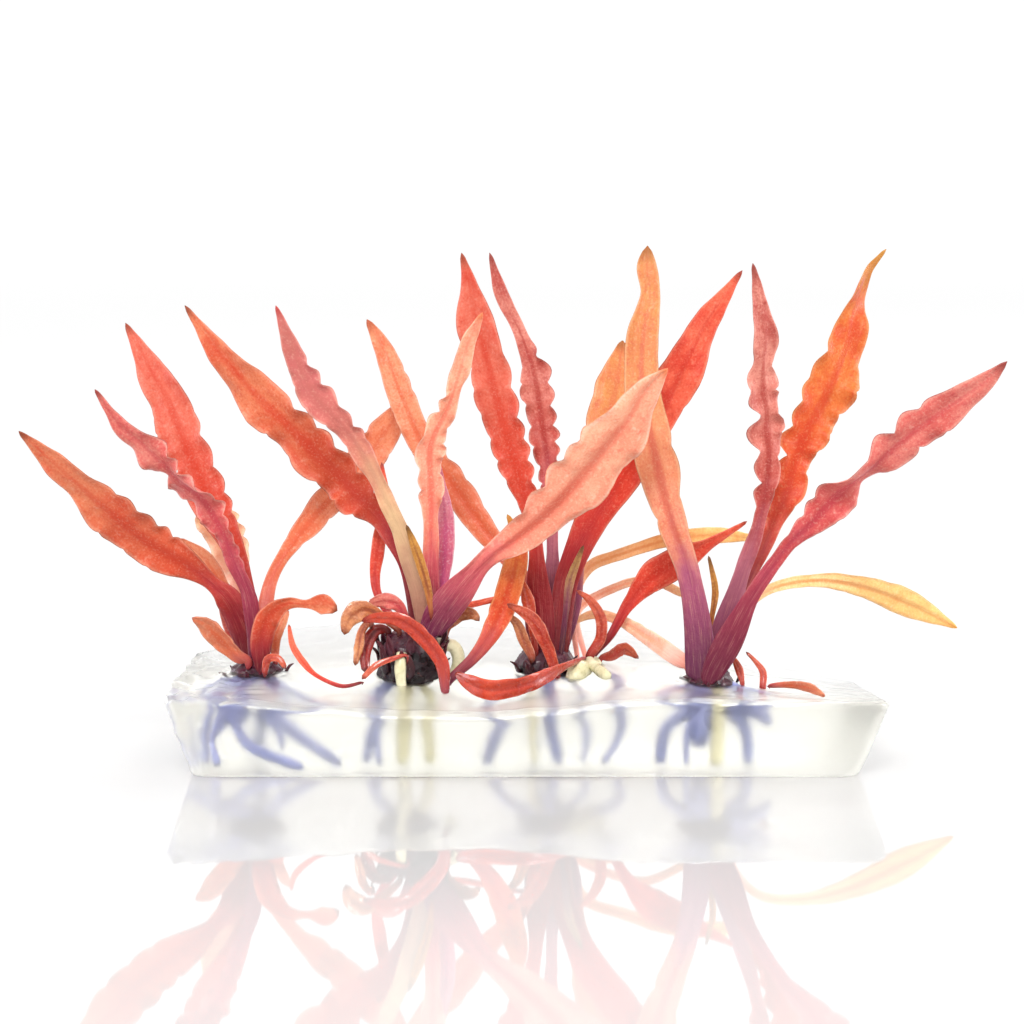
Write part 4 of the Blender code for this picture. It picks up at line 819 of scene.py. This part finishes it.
def gel_material():
    make = Nodes("clear_gel")
    make.set("Base Color", (1.0, 1.0, 1.0))
    make.set("Transmission Weight", 1.0)
    make.set("IOR", 1.22)
    make.set("Roughness", 0.4)
    make.set("Coat Weight", 0.5)
    make.set("Coat Roughness", 0.03)
    absorb = make.node("ShaderNodeVolumeAbsorption")
    absorb.inputs["Color"].default_value = (0.97, 0.955, 0.8, 1.0)
    absorb.inputs["Density"].default_value = 11.0
    make.tree.links.new(absorb.outputs[0], make.tree.nodes["Material Output"].inputs["Volume"])
    return make.material


def rhizome_material():
    """Wet crowns whose near-black is partly painted shade, roots in a bluish-grey painted shade, and cream
    roots, told apart by the first number of the form map.
    """
    make = Nodes("wet_rhizome")
    kind, height = make.uv("form")
    place = make.place()
    patches = make.noise(place, 380, 4, 0.6)
    fine = make.noise(place, 1800, 3, 0.6)
    ragged_height = make.plus(height, make.times(make.minus(patches, 0.5), 0.9))
    # The crown's near-black and its darkened flaps are partly its own dark colour and partly painted shade,
    # so that the crown reads as a shadowy mass.
    crown = make.layer(paint("10080C"), paint("28101A"), patches, 0.4, 0.65)
    crown = make.layer(crown, paint("4A1A2C"), ragged_height, 0.6, 0.95)
    crown = make.layer(crown, paint("7A3226"), fine, 0.58, 0.76, 0.55)
    crown = make.layer(crown, paint("561C20"), kind, CROWN_KIND, FLAP_KIND, 0.6)
    # Painted shade: the bluish-grey that the roots show as shadows seen through the gel, not their own
    # colour.
    root_painted_shade = make.layer(paint("7880B2"), paint("969CCA"), patches, 0.35, 0.7)
    cream = make.layer(paint("CFC9A0"), paint("E6E0BE"), patches, 0.35, 0.7)
    cream = make.layer(cream, paint("A89E68"), fine, 0.5, 0.8, 0.5)
    colour = make.layer(crown, root_painted_shade, kind, 0.3, 0.45)
    colour = make.layer(colour, cream, kind, 0.6, 0.8)
    make.bump(make.plus(patches, make.times(fine, 0.4)), 0.4, 0.0007)
    make.set("Base Color", colour)
    make.set("Roughness", make.step(patches, 0.3, 0.7, 0.18, 0.42))
    make.set("Specular IOR Level", 0.3)
    make.set("Coat Weight", 0.25)
    make.set("Coat Roughness", 0.05)
    return make.material


def along_table(table, across):
    """Heights read from a table of (across, height), eased between its entries."""
    places, heights = np.array(table).T
    index = np.clip(np.searchsorted(places, across, side="right") - 1, 0, len(places) - 2)
    share = eased((across - places[index]) / (places[index + 1] - places[index]))
    return between(heights[index], heights[index + 1], share)


def gel_height(ring):
    """The height of the gel's top at the points of a ring."""
    x, y = ring[:, 0], ring[:, 1]
    return between(along_table(RIM_FRONT, x), along_table(RIM_BACK, x), y / SLAB_DEPTH + 0.5)


def slab_outline(inset):
    """The slab's outline from above, counter-clockwise; every inset gives the same number of points."""
    half = np.array((SLAB_LENGTH, SLAB_DEPTH)) / 2
    corners = ((1, -1, FRONT_CORNER), (1, 1, BACK_CORNER), (-1, 1, BACK_CORNER), (-1, -1, FRONT_CORNER))
    arcs = []
    for quarter, (x_side, y_side, radius) in enumerate(corners):
        centre = (half - (radius + inset)) * (x_side, y_side)
        angles = np.radians(np.linspace(quarter * 90 - 90, quarter * 90, CORNER_POINTS))
        arcs.append(centre + radius * np.column_stack((np.cos(angles), np.sin(angles))))
    outline = []
    for arc, following, steps in zip(arcs, arcs[1:] + arcs[:1], (SHORT_SIDE_STEPS, LONG_SIDE_STEPS) * 2):
        side = arc[-1] + (following[0] - arc[-1]) * (np.arange(1, steps) / steps)[:, None]
        outline += [arc, side]
    return np.concatenate(outline)


def rim_ridge(ring, inset):
    """The height of the fine ridges along the front rim at a distance from it."""
    front = eased((-ring[:, 1] - 20) / 2) * eased((ring[:, 0] + 46) / 6) * eased((34 - ring[:, 0]) / 8)
    wander = 0.15 * np.sin(ring[:, 0] * 0.21) + 0.1 * np.sin(ring[:, 0] * 0.47 + 1)
    height = np.zeros(len(ring))
    for place, width, size in RIM_RIDGES:
        height += size * np.exp(-((inset + wander - place) / width) ** 2)
    return height * front


def raised(ring, height):
    """The ring's points at one height, or each at its own."""
    return np.column_stack((ring, np.broadcast_to(height, len(ring))))


def make_gel(material):
    rim = slab_outline(0.0)
    foot = slab_outline(FOOT_INSET)
    foot_top = FOOT_RINGS[-1][1]
    rings = [raised(slab_outline(FOOT_INSET + inset), height) for inset, height in FOOT_RINGS]
    wall_top = gel_height(rim) - RIM_ROUND
    for step in range(1, WALL_RINGS + 1):
        share = step / WALL_RINGS
        rings.append(raised(between(foot, rim, share ** 0.9), between(foot_top, wall_top, share)))
    for turn in np.radians((30, 60, 90)):
        ring = slab_outline(RIM_ROUND * (1 - math.cos(turn)))
        rings.append(raised(ring, gel_height(ring) - RIM_ROUND * (1 - math.sin(turn))))
    for inset in RIM_INSETS:
        ring = slab_outline(inset)
        rings.append(raised(ring, gel_height(ring) + rim_ridge(ring, inset)))
    inner = slab_outline(RIM_INSETS[-1])
    for step in range(1, TOP_RING_COUNT):
        ring = inner * (1 - (step / TOP_RING_COUNT) ** 1.05)
        rings.append(raised(ring, gel_height(ring)))
    points = lumpy(np.concatenate(rings))
    item = make_mesh("gel_slab_clear", points, closed_faces(len(rings), len(rim)), material)
    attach(item, "root")
    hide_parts("gel_slab")


def lumpy(points):
    """Small swells over the gel, and a crushed, lumpy left end."""
    moved = points.copy()
    for k, (x, y, z) in enumerate(points):
        if z <= 0:
            continue
        here = Vector((x, y, z))
        crushed = float(eased((-x - 34) / 12))
        fine = noise.noise(here * 0.22)
        rough = noise.noise(here * 0.45 + Vector((7, 3, 1)))
        rising = min(z / 4, 1)
        lift = 0.25 * fine + crushed * 0.9 * rough
        moved[k, 2] += lift * rising * (1 if z > 8 else 0.2)
        sink = 0.12 * (fine - 0.6) + crushed * 0.6 * (rough - 0.6)
        moved[k, 0] += sink * math.copysign(rising, x) * min(abs(x) / 45, 1)
        moved[k, 1] += sink * math.copysign(rising, y) * min(abs(y) / 22, 1)
    return moved


def make_camera():
    data = bpy.data.cameras.new("camera")
    data.lens = LENS
    data.sensor_width = SENSOR
    data.clip_start = 0.01
    data.clip_end = 20
    item = add_object("camera", data, EYE * MM)
    item.rotation_euler = (math.radians(90 - TILT_DOWN), 0, 0)
    bpy.context.scene.camera = item


# The lights, with places in metres: name, place, what they point at, size, power, and colour if not white
WHITE = (1.0, 1.0, 1.0)
LIGHTS = (
    ("key", (-0.1, -0.85, 0.75), (0, 0, 0.03), 0.35, 8.5, (1.0, 0.99, 0.97)),
    ("back", (0.3, 0.9, 0.8), (0, 0, 0.04), 0.5, 4.0),
    ("left side", (-0.6, 0.05, 0.12), (-0.02, 0, 0.01), 0.3, 1.6, (0.86, 0.93, 1.0)),
    ("right side", (0.6, 0.05, 0.16), (0.02, 0, 0.01), 0.3, 2.2),
    ("left glint", (-0.3, -0.6, 0.6), (0, 0, 0.03), 0.045, 0.35),
    ("right glint", (0.35, -0.45, 0.7), (0, 0, 0.03), 0.045, 0.3),
)
SURROUND_BRIGHTNESS = 1.09
LIGHT_BOUNCES = 26  # enough for the light to find its way through the gel
FLOOR_REACH = 9000.0
FLOOR_HEIGHT = -0.05


def make_light(name, place, target, size, power, colour=WHITE):
    data = bpy.data.lights.new(name, "AREA")
    data.shape = "DISK"
    data.size = size
    data.energy = power
    data.color = colour
    item = add_object(name, data, place)
    item.rotation_euler = (Vector(target) - Vector(place)).to_track_quat("-Z", "Y").to_euler()


def make_floor():
    """A glossy pale floor, just bright enough to turn white, that softly mirrors the part."""
    make = Nodes("pale_floor")
    make.set("Base Color", (0.55, 0.55, 0.55))
    make.set("Roughness", 0.03)
    make.set("Specular IOR Level", 1.0)
    corners = ((-1, -1), (1, -1), (1, 1), (-1, 1))
    points = [(x * FLOOR_REACH, y * FLOOR_REACH, FLOOR_HEIGHT) for x, y in corners]
    floor = make_mesh("floor", points, [(0, 1, 2, 3)], make.material)


def make_studio():
    world = bpy.data.worlds.new("studio")
    world.use_nodes = True
    background = world.node_tree.nodes["Background"]
    background.inputs["Color"].default_value = (*WHITE, 1.0)
    background.inputs["Strength"].default_value = SURROUND_BRIGHTNESS
    scene = bpy.context.scene
    scene.world = world
    scene.view_settings.view_transform = "Standard"
    scene.cycles.max_bounces = LIGHT_BOUNCES
    scene.cycles.transmission_bounces = LIGHT_BOUNCES
    for light in LIGHTS:
        make_light(*light)
    make_floor()


make_camera()
make_studio()
looks = {name: leaf_material(name, *look) for name, look in LOOKS.items()}
for number, leaf in enumerate(LEAVES):
    make_leaf(leaf, looks[leaf.look or leaf.finish], number)
wet_rhizome = rhizome_material()
for number, rhizome in enumerate(RHIZOMES):
    make_rhizome(rhizome, wet_rhizome, 100 + number)
make_gel(gel_material())
